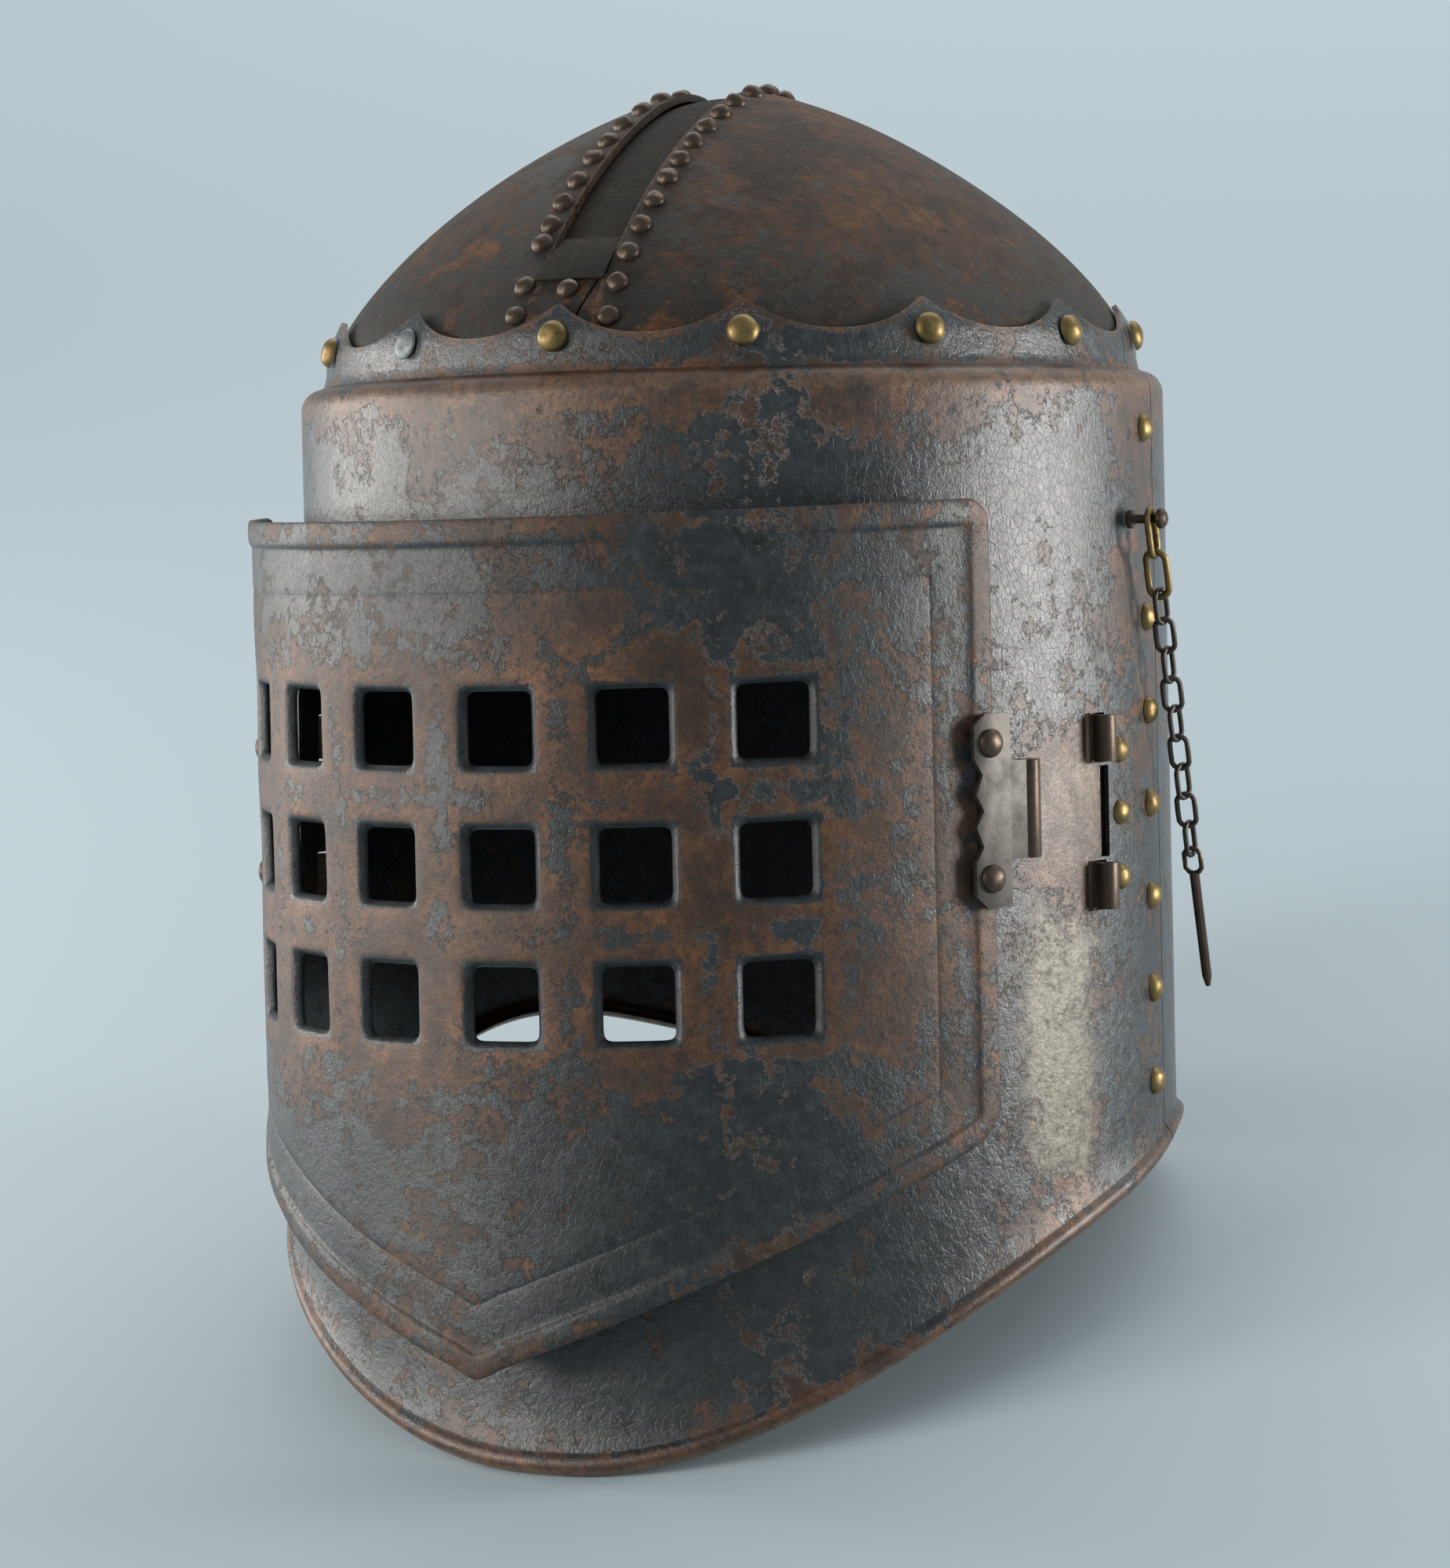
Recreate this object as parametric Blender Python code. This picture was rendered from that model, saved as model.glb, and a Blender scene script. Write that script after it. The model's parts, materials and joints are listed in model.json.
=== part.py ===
# A riveted iron great helmet with a hinged, pierced visor, resting on its front tip and rear rim.
# All shapes are worked out upright in millimetres, with the front towards -Y, and are then
# leaned back and set down on the floor.

import bmesh
import bpy
import numpy as np
from math import atan2, cos, degrees, exp, hypot, pi, radians, sin, sqrt, tan
from mathutils import Matrix, Vector

# Named sizes, in millimetres and degrees.
BARREL_R = 122.0  # outside radius of the barrel
SHEET = 1.5  # thickness of the sheet iron
GAP = 0.3  # clearance between neighbouring pieces
UNDER_GAP = 0.6  # clearance under the barrel's sheet, whose inside is made of flat strips
LEAN = 17.5  # how far the helmet leans back when it rests by itself
RIM_FRONT = -300.0  # lowest point of the lower edge, at the front
RIM_MID = -2.5  # direction of that point
RIM_ARCH = 31.8  # how far the lower edge rises above the floor at the sides
REAR_ARCH = 26.0  # a second, longer arch behind on the far side, seen through the lower holes
REAR_ARCH_DEG = -136.0
REAR_ARCH_HALF = 40.0
SKIRT_OUT = 9.2  # how far the lower edge was knocked out, most of all on the far side
SKIRT_DEG = -79.7
SKIRT_FOCUS = 1.97
SKIRT_BEND = 0.2  # share of it that the wall has at half its height
RIM_ROLL = 3.2  # radius of the rolled lower edge
DOME_R = 112.0
DOME_H = 74.0
DOME_SHEET = 2.2
FLANGE_GAP = 0.8  # clearance between the dome and the scalloped flange laid on it
SCALLOPS = 14
SCALLOP_TIP = 9.5  # height of the cusps above the foot of the dome
SCALLOP_VALLEY = 0.8
CREASE_Z = -9.0  # where the flange turns out into the shoulder
SHOULDER = 9.0  # height of the rounded shoulder
SEAM_TOP = -26.0  # heights of the first, second and last rivet of a side seam
SEAM_SECOND = -78.0
SEAM_LOW = -206.0
CHANNEL_W = 19.0  # width of the sunken band over the crown
STRAP_W = 34.0
STRAP_GAP = 0.8  # clearance between the dome and the band under it
CROWN_RIVET_X = 13.6
VISOR_CLEAR = 2.0
VISOR_R = BARREL_R + VISOR_CLEAR  # outside radius of the visor sheet
VISOR_X = -5.0  # centre of the visor's curve
VISOR_Y = -17.0
VISOR_MID = -7.9  # direction of its middle
VISOR_HALF = 71.2
VISOR_TOP = -46.0
VISOR_TIP_DEG = -5.5  # direction of its lower point
VISOR_END_LOW = -210.5
VISOR_TIP = -271.9
VISOR_CORNER = 8.0
BEAD_W = 6.6
BEAD_H = 1.8
HOLE = 19.0  # side of a square hole
HOLE_OUT = 24.0  # side of its pressed-in edge
HOLE_MID = -9.4  # direction of the middle of the pattern of holes
HOLE_STEP_DEG = 17.25
HOLE_ROWS = (-101.0, -137.0, -173.0)
FACE_HALF = 52.0  # half the face opening behind the visor, in degrees
FACE_TOP = -72.0
FACE_LOW = -204.0
HINGE_MID = -128.5  # middle height of the left hinge, and of the visor's knuckles in general
PLATE_UP = 1.7  # the open right side of the visor hangs this far above its hinge's height
LEAF_UP = -1.2  # and the leaf that it has left sits this far below
PLATE_RIVET_IN = 4.4  # the plates' rivets lie this far inside the visor's edge
PLATE_HALF = 25.6  # half the height of the visor's hinge plates
PLATE_IN = 9.6  # how far they reach in from the visor's edge
PLATE_OVER = 2.4  # and past it
LEAF_HALF = 27.0  # half the height of the barrel's hinge leaves
LEAF_REACH_DEG = 8.4
KNUCKLE_R = 3.1
KNUCKLE_BORE = 1.8
KNUCKLE_MID = 26.0  # length of the visor's middle knuckle
KNUCKLE_END = 12.5  # length of each of the barrel's knuckles
PIN_R = 1.4
KNUCKLE_DEG = VISOR_MID + VISOR_HALF + 12.4  # direction of the right-hand knuckles of the barrel
LAP_DEG = VISOR_HALF + 24.3  # where the front plate ends, on top of the back plate
LAP_TONGUE_DEG = LAP_DEG - 8.3
SEAM_RIVET_DEG = LAP_DEG - 4.0
BRASS_R = 4.2
BRASS_H = 2.6
IRON_R = 2.9
IRON_H = 2.0
CHAIN_OUT = 6.8  # the chain hangs this far out from the barrel
CHAIN_Y = -11.0  # and a little in front of the widest place
BOLT_Z = -51.0
LINK_WIRE = 0.75  # radius of the iron wire
LINK_L = 11.0
LINK_W = 6.4
IRON_LINKS = 9
HOOK_WIRE = 0.95
HOOK_L = 15.0
HOOK_W = 7.6
PIN_LONG = 34.0

DEG_PER_MM = degrees(1 / VISOR_R)
KNUCKLE_STEP = 11.5 * DEG_PER_MM  # the visor's knuckle lies this far past its edge
CHAIN_X = BARREL_R + CHAIN_OUT


def make_material(name, colour, metallic, roughness):
    mat = bpy.data.materials.new(name)
    mat.use_nodes = True
    shader = mat.node_tree.nodes["Principled BSDF"]
    shader.inputs["Base Color"].default_value = (*colour, 1.0)
    shader.inputs["Metallic"].default_value = metallic
    shader.inputs["Roughness"].default_value = roughness
    return mat


def polar(deg, r, z, cx=0.0, cy=0.0):
    """The point at this direction from the front (positive to +X), radius and height."""
    return Vector((cx + r * sin(radians(deg)), cy - r * cos(radians(deg)), z))


def visor_point(deg, r, z):
    return polar(deg, r, z, VISOR_X, VISOR_Y)


def mesh_object(name, points, faces, helper=False):
    """A mesh object in upright millimetres. Its normals are made to face out."""
    mesh = bpy.data.meshes.new(name)
    mesh.from_pydata([tuple(p) for p in points], [], faces)
    bm = bmesh.new()
    bm.from_mesh(mesh)
    bmesh.ops.remove_doubles(bm, verts=bm.verts, dist=1e-5)
    bmesh.ops.recalc_face_normals(bm, faces=bm.faces)
    bmesh.ops.triangulate(bm, faces=[f for f in bm.faces if len(f.verts) > 4])
    bm.to_mesh(mesh)
    bm.free()
    obj = bpy.data.objects.new(name, mesh)
    bpy.context.scene.collection.objects.link(obj)
    if helper:
        obj.hide_render = True
        obj.display_type = "WIRE"
    return obj


def sweep_data(sections):
    """Points and faces of a solid swept through closed sections with equally many points."""
    n = len(sections[0])
    points = [p for section in sections for p in section]
    faces = []
    for i in range(len(sections) - 1):
        for j in range(n):
            k = (j + 1) % n
            faces.append((i * n + j, i * n + k, (i + 1) * n + k, (i + 1) * n + j))
    faces.append(tuple(range(n)))
    faces.append(tuple((len(sections) - 1) * n + j for j in range(n)))
    return points, faces


def ring_data(sections):
    """The same, with the last section joined to the first."""
    n = len(sections[0])
    points = [p for section in sections for p in section]
    faces = []
    for i in range(len(sections)):
        after = (i + 1) % len(sections)
        for j in range(n):
            k = (j + 1) % n
            faces.append((i * n + j, i * n + k, after * n + k, after * n + j))
    return points, faces


def joined(shapes):
    """Several (points, faces) as one."""
    points = []
    faces = []
    for more, made in shapes:
        start = len(points)
        points.extend(more)
        faces.extend(tuple(start + i for i in face) for face in made)
    return points, faces


def combine(obj, other, operation):
    """Applies an exact boolean of other to obj and removes other."""
    modifier = obj.modifiers.new("join", "BOOLEAN")
    modifier.operation = operation
    modifier.solver = "EXACT"
    modifier.object = other
    bpy.context.view_layer.update()
    graph = bpy.context.evaluated_depsgraph_get()
    made = bpy.data.meshes.new_from_object(obj.evaluated_get(graph))
    obj.modifiers.remove(modifier)
    obj.data = made
    bpy.data.objects.remove(other)


def box_data(corners_low, corners_high):
    """A closed six-sided solid from two loops of four points."""
    return sweep_data([corners_low, corners_high])


def dome_z(r):
    share = min(max(r / DOME_R, 0.0), 1.0)
    return DOME_H * (1 - share**1.5) ** 0.75


def dome_path(offset, rings):
    """Radius and height down the dome, moved out along its normal by the offset, with a short skirt."""
    path = []
    steps = [DOME_R * (1 - (1 - i / rings) ** 1.7) for i in range(rings + 1)]
    for r in steps:
        a, b = max(r - 0.4, 0.0), min(r + 0.4, DOME_R)
        slope_r, slope_z = b - a, dome_z(b) - dome_z(a)
        size = hypot(slope_r, slope_z)
        nr, nz = -slope_z / size, slope_r / size
        if r == 0.0:
            nr, nz = 0.0, 1.0
        path.append((r + nr * offset, dome_z(r) + nz * offset))
    path[-1] = (DOME_R + offset, 0.0)
    path.append((DOME_R + offset, CREASE_Z + 1.0))
    return path


def path_at(path, z):
    """Radius of a falling path at this height."""
    for (r1, z1), (r2, z2) in zip(path, path[1:]):
        if z2 <= z <= z1:
            return r1 + (r2 - r1) * (z1 - z) / max(z1 - z2, 1e-9)
    return path[-1][0]


DOME_OUT = dome_path(0.0, 9)
FLANGE_IN = dome_path(FLANGE_GAP, 24)
FLANGE_OUT = dome_path(FLANGE_GAP + SHEET, 24)


def dome_frame(y_sign, x, r, lift):
    """A point over the dome near the spine, and its normal."""
    ahead = (r + 0.5, dome_z(r + 0.5))
    here = (r, dome_z(r))
    n2 = Vector((here[1] - ahead[1], ahead[0] - here[0])).normalized()
    y = sqrt(max(r * r - x * x, 0.0)) * y_sign
    flat = Vector((x, y, 0.0)).normalized() if r > 0 else Vector((0, 0, 0))
    normal = (flat * n2.x + Vector((0, 0, n2.y))).normalized()
    return Vector((x, y, here[1])) + normal * lift, normal


def skirt_out(deg):
    """How far the lower edge stands outside the round barrel."""
    return SKIRT_OUT * exp(SKIRT_FOCUS * (cos(radians(deg - SKIRT_DEG)) - 1))


def rim_z(deg):
    """Height of the lower edge: on the resting plane in front and behind, arched at the sides."""
    y = -(BARREL_R + skirt_out(deg)) * cos(radians(deg))
    plane = RIM_FRONT + (y + BARREL_R) * tan(radians(LEAN))
    away = abs((deg - RIM_MID + 180) % 360 - 180)
    if away < 81:
        share = max(away - 3, 0.0) / 78
        arch = sin(share * pi / 2) ** 1.88
    elif away < 100:
        arch = 1.0
    else:
        share = min((away - 100) / 48, 1.0)
        arch = 0.5 + 0.5 * cos(share * pi)
    behind = abs((deg - REAR_ARCH_DEG + 180) % 360 - 180) / REAR_ARCH_HALF
    rear = (1 - behind * behind) ** 2 if behind < 1 else 0.0
    return plane + RIM_ARCH * arch + REAR_ARCH * rear


def wall_r(deg, z):
    """Outside radius of the barrel's wall, which is straight at first and opens out below."""
    top = CREASE_Z - SHOULDER
    share = min(max((top - z) / (top - rim_z(deg) - 2.3 * RIM_ROLL), 0.0), 1.0)
    if share < 0.5:
        bent = share * 2 * SKIRT_BEND
    else:
        bent = SKIRT_BEND + (share * 2 - 1) * (1 - SKIRT_BEND)
    return BARREL_R + skirt_out(deg) * bent


def scallop_z(deg):
    step = 360 / SCALLOPS
    from_cusp = abs((deg / step + 0.5) % 1.0 - 0.5) * 2
    return SCALLOP_VALLEY + (SCALLOP_TIP - SCALLOP_VALLEY) * (1 - from_cusp) ** 2.2


def wall_section(deg):
    """The closed outline of the barrel's sheet at this direction, as (radius, height)."""
    tip = scallop_z(deg)
    low = rim_z(deg) + RIM_ROLL
    roll = RIM_ROLL
    r = BARREL_R
    out = skirt_out(deg)
    top_z, low_z = CREASE_Z - SHOULDER, low + roll * 1.3
    middle_z = (top_z + low_z) / 2
    middle_r = r + out * SKIRT_BEND
    outer = [
        (path_at(FLANGE_OUT, tip), tip),
        (path_at(FLANGE_OUT, tip * 0.5), tip * 0.5),
        (DOME_R + FLANGE_GAP + SHEET + 0.2, -1.0),
        (DOME_R + FLANGE_GAP + SHEET + 1.2, CREASE_Z),
        (r - SHOULDER * 0.30, CREASE_Z - SHOULDER * 0.16),
        (r - SHOULDER * 0.09, CREASE_Z - SHOULDER * 0.48),
        (r, top_z),
        (middle_r, middle_z),
        (r + out, low_z),
    ]
    turns = (130, 75, 20, -35, -85, -130)
    centre = r + out - roll * 0.35
    rolled = [(centre + roll * cos(radians(a)), low + roll * sin(radians(a))) for a in turns]
    inner_r = r - SHEET
    rolled[-1] = (inner_r + out, low - roll * 0.7)
    inner = [
        (inner_r + out, low_z),
        (middle_r - SHEET, middle_z),
        (inner_r, top_z),
        (inner_r - SHOULDER * 0.09, CREASE_Z - SHOULDER * 0.6),
        (inner_r - SHOULDER * 0.30, CREASE_Z - SHOULDER * 0.32),
        (DOME_R + FLANGE_GAP + 1.0, CREASE_Z - SHEET),
        (DOME_R + FLANGE_GAP + 0.2, -1.0),
        (path_at(FLANGE_IN, tip * 0.5 - 0.3), tip * 0.5 - 0.3),
        (path_at(FLANGE_IN, tip - 0.3), tip - 0.3),
    ]
    return outer + rolled[1:] + inner


def wall_steps(first, last):
    """Directions of the sections: four to a scallop, and both ends."""
    step = 360 / SCALLOPS
    marks = {round(first, 4), round(last, 4)}
    for k in range(-SCALLOPS, SCALLOPS + 1):
        for share in (0.0, 0.17, 0.5, 0.83):
            deg = (k + share) * step
            if first + 1.0 < deg < last - 1.0:
                marks.add(round(deg, 4))
    return sorted(marks)


def wall_sector(name, first, last):
    sections = []
    for deg in wall_steps(first, last):
        sections.append([polar(deg, r, z) for r, z in wall_section(deg)])
    return mesh_object(name, *sweep_data(sections))


def polar_block(first, last, r1, r2, z1, z2, steps=2, cx=0.0, cy=0.0):
    """A block between two radii, two heights and two directions."""
    sections = []
    for i in range(steps + 1):
        deg = first + (last - first) * i / steps
        loop = [(r1, z1), (r2, z1), (r2, z2), (r1, z2)]
        sections.append([polar(deg, r, z, cx, cy) for r, z in loop])
    return sweep_data(sections)


def rivet_data(centre, normal, radius, height, sides=8, sink=0.0):
    """A round head on a plane through centre."""
    normal = normal.normalized()
    side = normal.orthogonal().normalized()
    up = normal.cross(side)
    foot = centre - normal * sink
    levels = [(1.0, 0.0), (0.93, 0.42), (0.58, 0.86)]
    points = []
    for share, high in levels:
        base = foot + normal * (height + sink) * high
        for i in range(sides):
            a = 2 * pi * i / sides
            points.append(base + (side * cos(a) + up * sin(a)) * radius * share)
    top = len(points)
    points.append(foot + normal * (height + sink))
    faces = [tuple(range(sides))]
    for level in range(len(levels) - 1):
        for i in range(sides):
            k = (i + 1) % sides
            a, b = level * sides, (level + 1) * sides
            faces.append((a + i, a + k, b + k, b + i))
    last = (len(levels) - 1) * sides
    for i in range(sides):
        faces.append((last + i, last + (i + 1) % sides, top))
    return points, faces


def disc_loop(centre, axis, radius, sides):
    side = axis.orthogonal().normalized()
    up = axis.cross(side)
    loop = []
    for i in range(sides):
        a = 2 * pi * i / sides
        loop.append(centre + (side * cos(a) + up * sin(a)) * radius)
    return loop


def rod_data(stations, sides=10):
    """A round rod through (centre, radius) stations, along one straight axis."""
    axis = (stations[-1][0] - stations[0][0]).normalized()
    return sweep_data([disc_loop(c, axis, r, sides) for c, r in stations])


def tube_data(centre, axis, length, outer, bore, sides=12):
    """A straight tube with an open bore."""
    loops = []
    for r, shift in ((outer, -0.5), (outer, 0.5), (bore, 0.5), (bore, -0.5)):
        loops.append(disc_loop(centre + axis * length * shift, axis, r, sides))
    return ring_data(loops)


def link_data(centre, along, wide, length, width, wire, sides=10, wire_sides=6):
    """A long round-ended link in the plane of along and wide."""
    through = along.cross(wide).normalized()
    half = (length - width) / 2
    r = width / 2 - wire
    sections = []
    for i in range(sides):
        a = 2 * pi * (i + 0.5) / sides
        shift = half if sin(a) > 0 else -half
        spot = centre + along * (r * sin(a) + shift) + wide * r * cos(a)
        out = (along * sin(a) + wide * cos(a)).normalized()
        loop = []
        for j in range(wire_sides):
            b = 2 * pi * j / wire_sides
            loop.append(spot + (out * cos(b) + through * sin(b)) * wire)
        sections.append(loop)
    return ring_data(sections)


def visor_dip(deg):
    """The visor hangs a little lower in its middle."""
    return -4.0 * (cos(radians(deg - VISOR_MID)) - 0.75)


def corner_drop(mm_from_end):
    inside = VISOR_CORNER - mm_from_end
    if inside <= 0:
        return 0.0
    return VISOR_CORNER - sqrt(max(VISOR_CORNER**2 - inside**2, 0.0))


def visor_top(deg):
    from_end = (VISOR_HALF - abs(deg - VISOR_MID)) / DEG_PER_MM
    return VISOR_TOP - corner_drop(from_end) + visor_dip(deg)


def visor_low(deg):
    away = abs(deg - VISOR_TIP_DEG) / VISOR_HALF
    from_end = (VISOR_HALF - abs(deg - VISOR_MID)) / DEG_PER_MM
    v_line = VISOR_TIP + (VISOR_END_LOW - VISOR_TIP) * sqrt(away * away + 0.0016) - 1.0
    return v_line + corner_drop(from_end) * 1.4 + visor_dip(deg)


def visor_columns():
    """Directions of the visor's sections, closer at its beaded ends."""
    first = VISOR_MID - VISOR_HALF
    bead = BEAD_W * DEG_PER_MM
    ends = [0.0, 0.9, 2.0, bead, bead + 0.7]
    inner = np.linspace(ends[-1], 2 * VISOR_HALF - ends[-1], 23)
    from_first = ends[:-1] + [float(x) for x in inner] + [2 * VISOR_HALF - e for e in ends[-2::-1]]
    return [first + x for x in from_first]


def visor_bead(deg, from_edge):
    """How far the raised bead stands out at this spot."""
    from_end = (VISOR_HALF - abs(deg - VISOR_MID)) / DEG_PER_MM
    near = min(from_end, from_edge)
    return BEAD_H if near < BEAD_W + 0.05 else 0.0


def make_visor():
    rows = [0.0, 1.0, BEAD_W, BEAD_W + 1.3]
    sections = []
    for deg in visor_columns():
        top, low = visor_top(deg), visor_low(deg)
        heights = [(top - e, e) for e in rows]
        heights += [(top + (low - top) * s, 99.0) for s in (0.3, 0.5, 0.7)]
        heights += [(low + e, e) for e in reversed(rows)]
        loop = []
        for z, edge in heights:
            bead = visor_bead(deg, edge)
            if edge == 0.0:
                bead = bead - 0.9
            loop.append(visor_point(deg, VISOR_R + bead, z))
        for z in (low, low + (top - low) * 0.3, low + (top - low) * 0.7, top):
            loop.append(visor_point(deg, VISOR_R - SHEET, z))
        sections.append(loop)
    visor = mesh_object("visor", *sweep_data(sections))
    cutters = []
    for col in range(6):
        deg = HOLE_MID + (col - 2.5) * HOLE_STEP_DEG
        for z in HOLE_ROWS:
            cutters.append(hole_cutter(deg, z + visor_dip(deg)))
    cutter = mesh_object("visor_holes", *joined(cutters), helper=True)
    combine(visor, cutter, "DIFFERENCE")
    return visor


def hole_cutter(deg, z):
    """A square hole with a sloping edge and cut corners, made longer than the sheet on both sides."""
    sections = []
    for r, side in ((VISOR_R - 5, HOLE), (VISOR_R - 0.9, HOLE), (VISOR_R + 3, HOLE_OUT * 1.4 - HOLE * 0.4)):
        half, cut = side / 2, side * 0.12
        outline = [
            (-half + cut, -half),
            (half - cut, -half),
            (half, -half + cut),
            (half, half - cut),
            (half - cut, half),
            (-half + cut, half),
            (-half, half - cut),
            (-half, -half + cut),
        ]
        middle = visor_point(deg, r, z)
        across = visor_point(deg + 90, 1, 0) - visor_point(0, 0, 0)
        sections.append([middle + across * x + Vector((0, 0, y)) for x, y in outline])
    return sweep_data(sections)


def face_cutter():
    """The plain opening in the front plate behind the visor, with cut corners."""
    cut_deg, cut_z = 8.0, 16.0
    sections = []
    marks = (-FACE_HALF, -FACE_HALF + cut_deg, -26, -13, 0, 13, 26, FACE_HALF - cut_deg, FACE_HALF)
    for deg in marks:
        cut = cut_z if abs(deg) == FACE_HALF else 0.0
        loop = [
            (BARREL_R - 12, FACE_LOW + cut),
            (BARREL_R + 12, FACE_LOW + cut),
            (BARREL_R + 12, FACE_TOP - cut),
            (BARREL_R - 12, FACE_TOP - cut),
        ]
        sections.append([polar(deg, r, z) for r, z in loop])
    return sweep_data(sections)


def plate_mid(sign):
    """Middle height of the visor's hinge plate on this side."""
    return HINGE_MID + (PLATE_UP if sign > 0 else 0.0)


def leaf_mid(sign):
    """Middle height of the barrel's hinge leaf on this side."""
    return HINGE_MID + (LEAF_UP if sign > 0 else 0.0)


def knuckle_heights(sign):
    """Middle heights of the upper and lower knuckle of the barrel."""
    away = KNUCKLE_MID / 2 + GAP + KNUCKLE_END / 2 + 0.4
    return leaf_mid(sign) + away, leaf_mid(sign) - away


def hinge_slots(sign, deg):
    """Slots that the arms of the inner leaf pass through, and the narrow one between them."""
    shapes = []
    for z in knuckle_heights(sign):
        half = KNUCKLE_END / 2 + 0.5
        a, b = sorted((sign * (deg - 1.9), sign * (deg + 2.4)))
        shapes.append(polar_block(a, b, BARREL_R - 9, BARREL_R + 6, z - half, z + half))
    a, b = sorted((sign * (deg + 1.2), sign * (deg + 3.2)))
    half = KNUCKLE_MID / 2 - 0.6
    mid = leaf_mid(sign)
    shapes.append(polar_block(a, b, BARREL_R - 9, BARREL_R + 6, mid - half, mid + half))
    return shapes


def barrel_leaf(name, sign, deg, pivot):
    """The leaf inside the barrel, its arms and its two knuckles."""
    outer = BARREL_R - SHEET - UNDER_GAP
    a, b = sorted((sign * (deg + 0.6), sign * (deg + LEAF_REACH_DEG)))
    z1, z2 = leaf_mid(sign) - LEAF_HALF, leaf_mid(sign) + LEAF_HALF
    leaf = mesh_object(name, *polar_block(a, b, outer - SHEET, outer, z1, z2, 3))
    for z in knuckle_heights(sign):
        half = KNUCKLE_END / 2
        root = polar(sign * (deg + 1.3), outer - SHEET / 2, z)
        tip = Vector((pivot.x, pivot.y, z))
        along = (tip - root).normalized()
        side = along.cross(Vector((0, 0, 1))).normalized() * 0.9
        end = tip - along * (KNUCKLE_R + KNUCKLE_BORE) / 2
        up = Vector((0, 0, half))
        sections = [[p - side - up, p + side - up, p + side + up, p - side + up] for p in (root, end)]
        combine(leaf, mesh_object(name + "_arm", *sweep_data(sections), helper=True), "UNION")
        tube = tube_data(tip, Vector((0, 0, 1)), KNUCKLE_END, KNUCKLE_R, KNUCKLE_BORE)
        combine(leaf, mesh_object(name + "_knuckle", *tube, helper=True), "UNION")
    return leaf


def visor_plate(name, sign):
    """The notched plate riveted on the visor, with its middle knuckle."""
    edge = VISOR_MID + sign * VISOR_HALF
    low_r = VISOR_R + BEAD_H + GAP
    # The upper half of the notched outline, as shares of its reach inwards and of its height.
    upper = [(0.62, 1.0), (1.0, 0.88), (1.0, 0.53), (0.73, 0.37), (0.96, 0.17)]
    shares = upper + [(0.71, 0.0)] + [(inwards, -up) for inwards, up in reversed(upper)]
    outline = [(-PLATE_OVER, PLATE_HALF)]
    outline += [(inwards * PLATE_IN, up * PLATE_HALF) for inwards, up in shares]
    outline.append((-PLATE_OVER, -PLATE_HALF))
    mid = plate_mid(sign)
    loops = []
    for r in (low_r, low_r + SHEET):
        loop = []
        for inwards, up in outline:
            loop.append(visor_point(edge - sign * inwards * DEG_PER_MM, r, mid + up))
        loops.append(loop)
    plate = mesh_object(name, *sweep_data(loops))
    pivot = visor_pivot(sign)
    half = KNUCKLE_MID / 2
    tangent = visor_point(edge + sign * 90, 1, 0) - visor_point(0, 0, 0)
    outwards = visor_point(edge, 1, 0) - visor_point(0, 0, 0)
    start = visor_point(edge, low_r + SHEET / 2, mid)
    end = Vector((pivot.x, pivot.y, mid)) + outwards * (KNUCKLE_R + KNUCKLE_BORE) / 2
    up = Vector((0, 0, half))
    thick = outwards * 0.65
    sections = [[p - thick - up, p + thick - up, p + thick + up, p - thick + up] for p in (start, end)]
    combine(plate, mesh_object(name + "_arm", *sweep_data(sections), helper=True), "UNION")
    spot = Vector((pivot.x, pivot.y, mid))
    tube = tube_data(spot, Vector((0, 0, 1)), KNUCKLE_MID, KNUCKLE_R, KNUCKLE_BORE)
    combine(plate, mesh_object(name + "_knuckle", *tube, helper=True), "UNION")
    return plate


def visor_pivot(sign):
    """Axis of the visor's knuckle on this side, at height 0."""
    return visor_point(VISOR_MID + sign * (VISOR_HALF + KNUCKLE_STEP), VISOR_R + 1.1, 0.0)


def make_strap():
    """The band under both halves of the dome, from front to back."""
    offset = -DOME_SHEET - STRAP_GAP
    half = STRAP_W / 2
    upper = dome_path(offset, 10)
    lower = dome_path(offset - SHEET, 10)
    front_end = DOME_R - 13.5
    loops = []
    heights = []
    for (r1, z1), (r2, z2) in zip(upper[:-1], lower[:-1]):
        heights.append((r1, z1, r2, z2))
    front = [h for h in heights if h[0] < front_end]
    back = heights[1:]
    line = [(-1, h) for h in reversed(front)] + [(1, h) for h in back]
    for sign, (r1, z1, r2, z2) in line:
        loop = []
        for x in (-half, -half / 3, half / 3, half):
            loop.append(strap_point(x, sign, r1, z1))
        for x in (half, half / 3, -half / 3, -half):
            loop.append(strap_point(x, sign, r2, z2))
        loops.append(loop)
    return mesh_object("crown_strap", *sweep_data(loops))


def strap_point(x, sign, r, z):
    """A point of the band, lowered towards its edges as the round dome above it falls away."""
    reach = hypot(r, x)
    drop = dome_z(r) - dome_z(min(reach, DOME_R)) if reach < DOME_R else dome_z(r)
    if reach < DOME_R * 0.93:
        return Vector((x, sign * r, z - drop))
    return Vector((x, sign * sqrt(max(r * r - x * x, 0.0)), z))


def crown_spots():
    """Radii of the rivets beside the band, evenly spread along the dome from front to back."""
    spots = []
    rings = 200
    length = 0.0
    last = (CROWN_RIVET_X, dome_z(CROWN_RIVET_X))
    marks = [5.0 + 12.4 * i for i in range(9)]
    for i in range(1, rings):
        r = CROWN_RIVET_X + (DOME_R - CROWN_RIVET_X) * i / rings
        length += hypot(r - last[0], dome_z(r) - last[1])
        last = (r, dome_z(r))
        if marks and length >= marks[0]:
            spots.append(r)
            marks.pop(0)
    return spots


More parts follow.
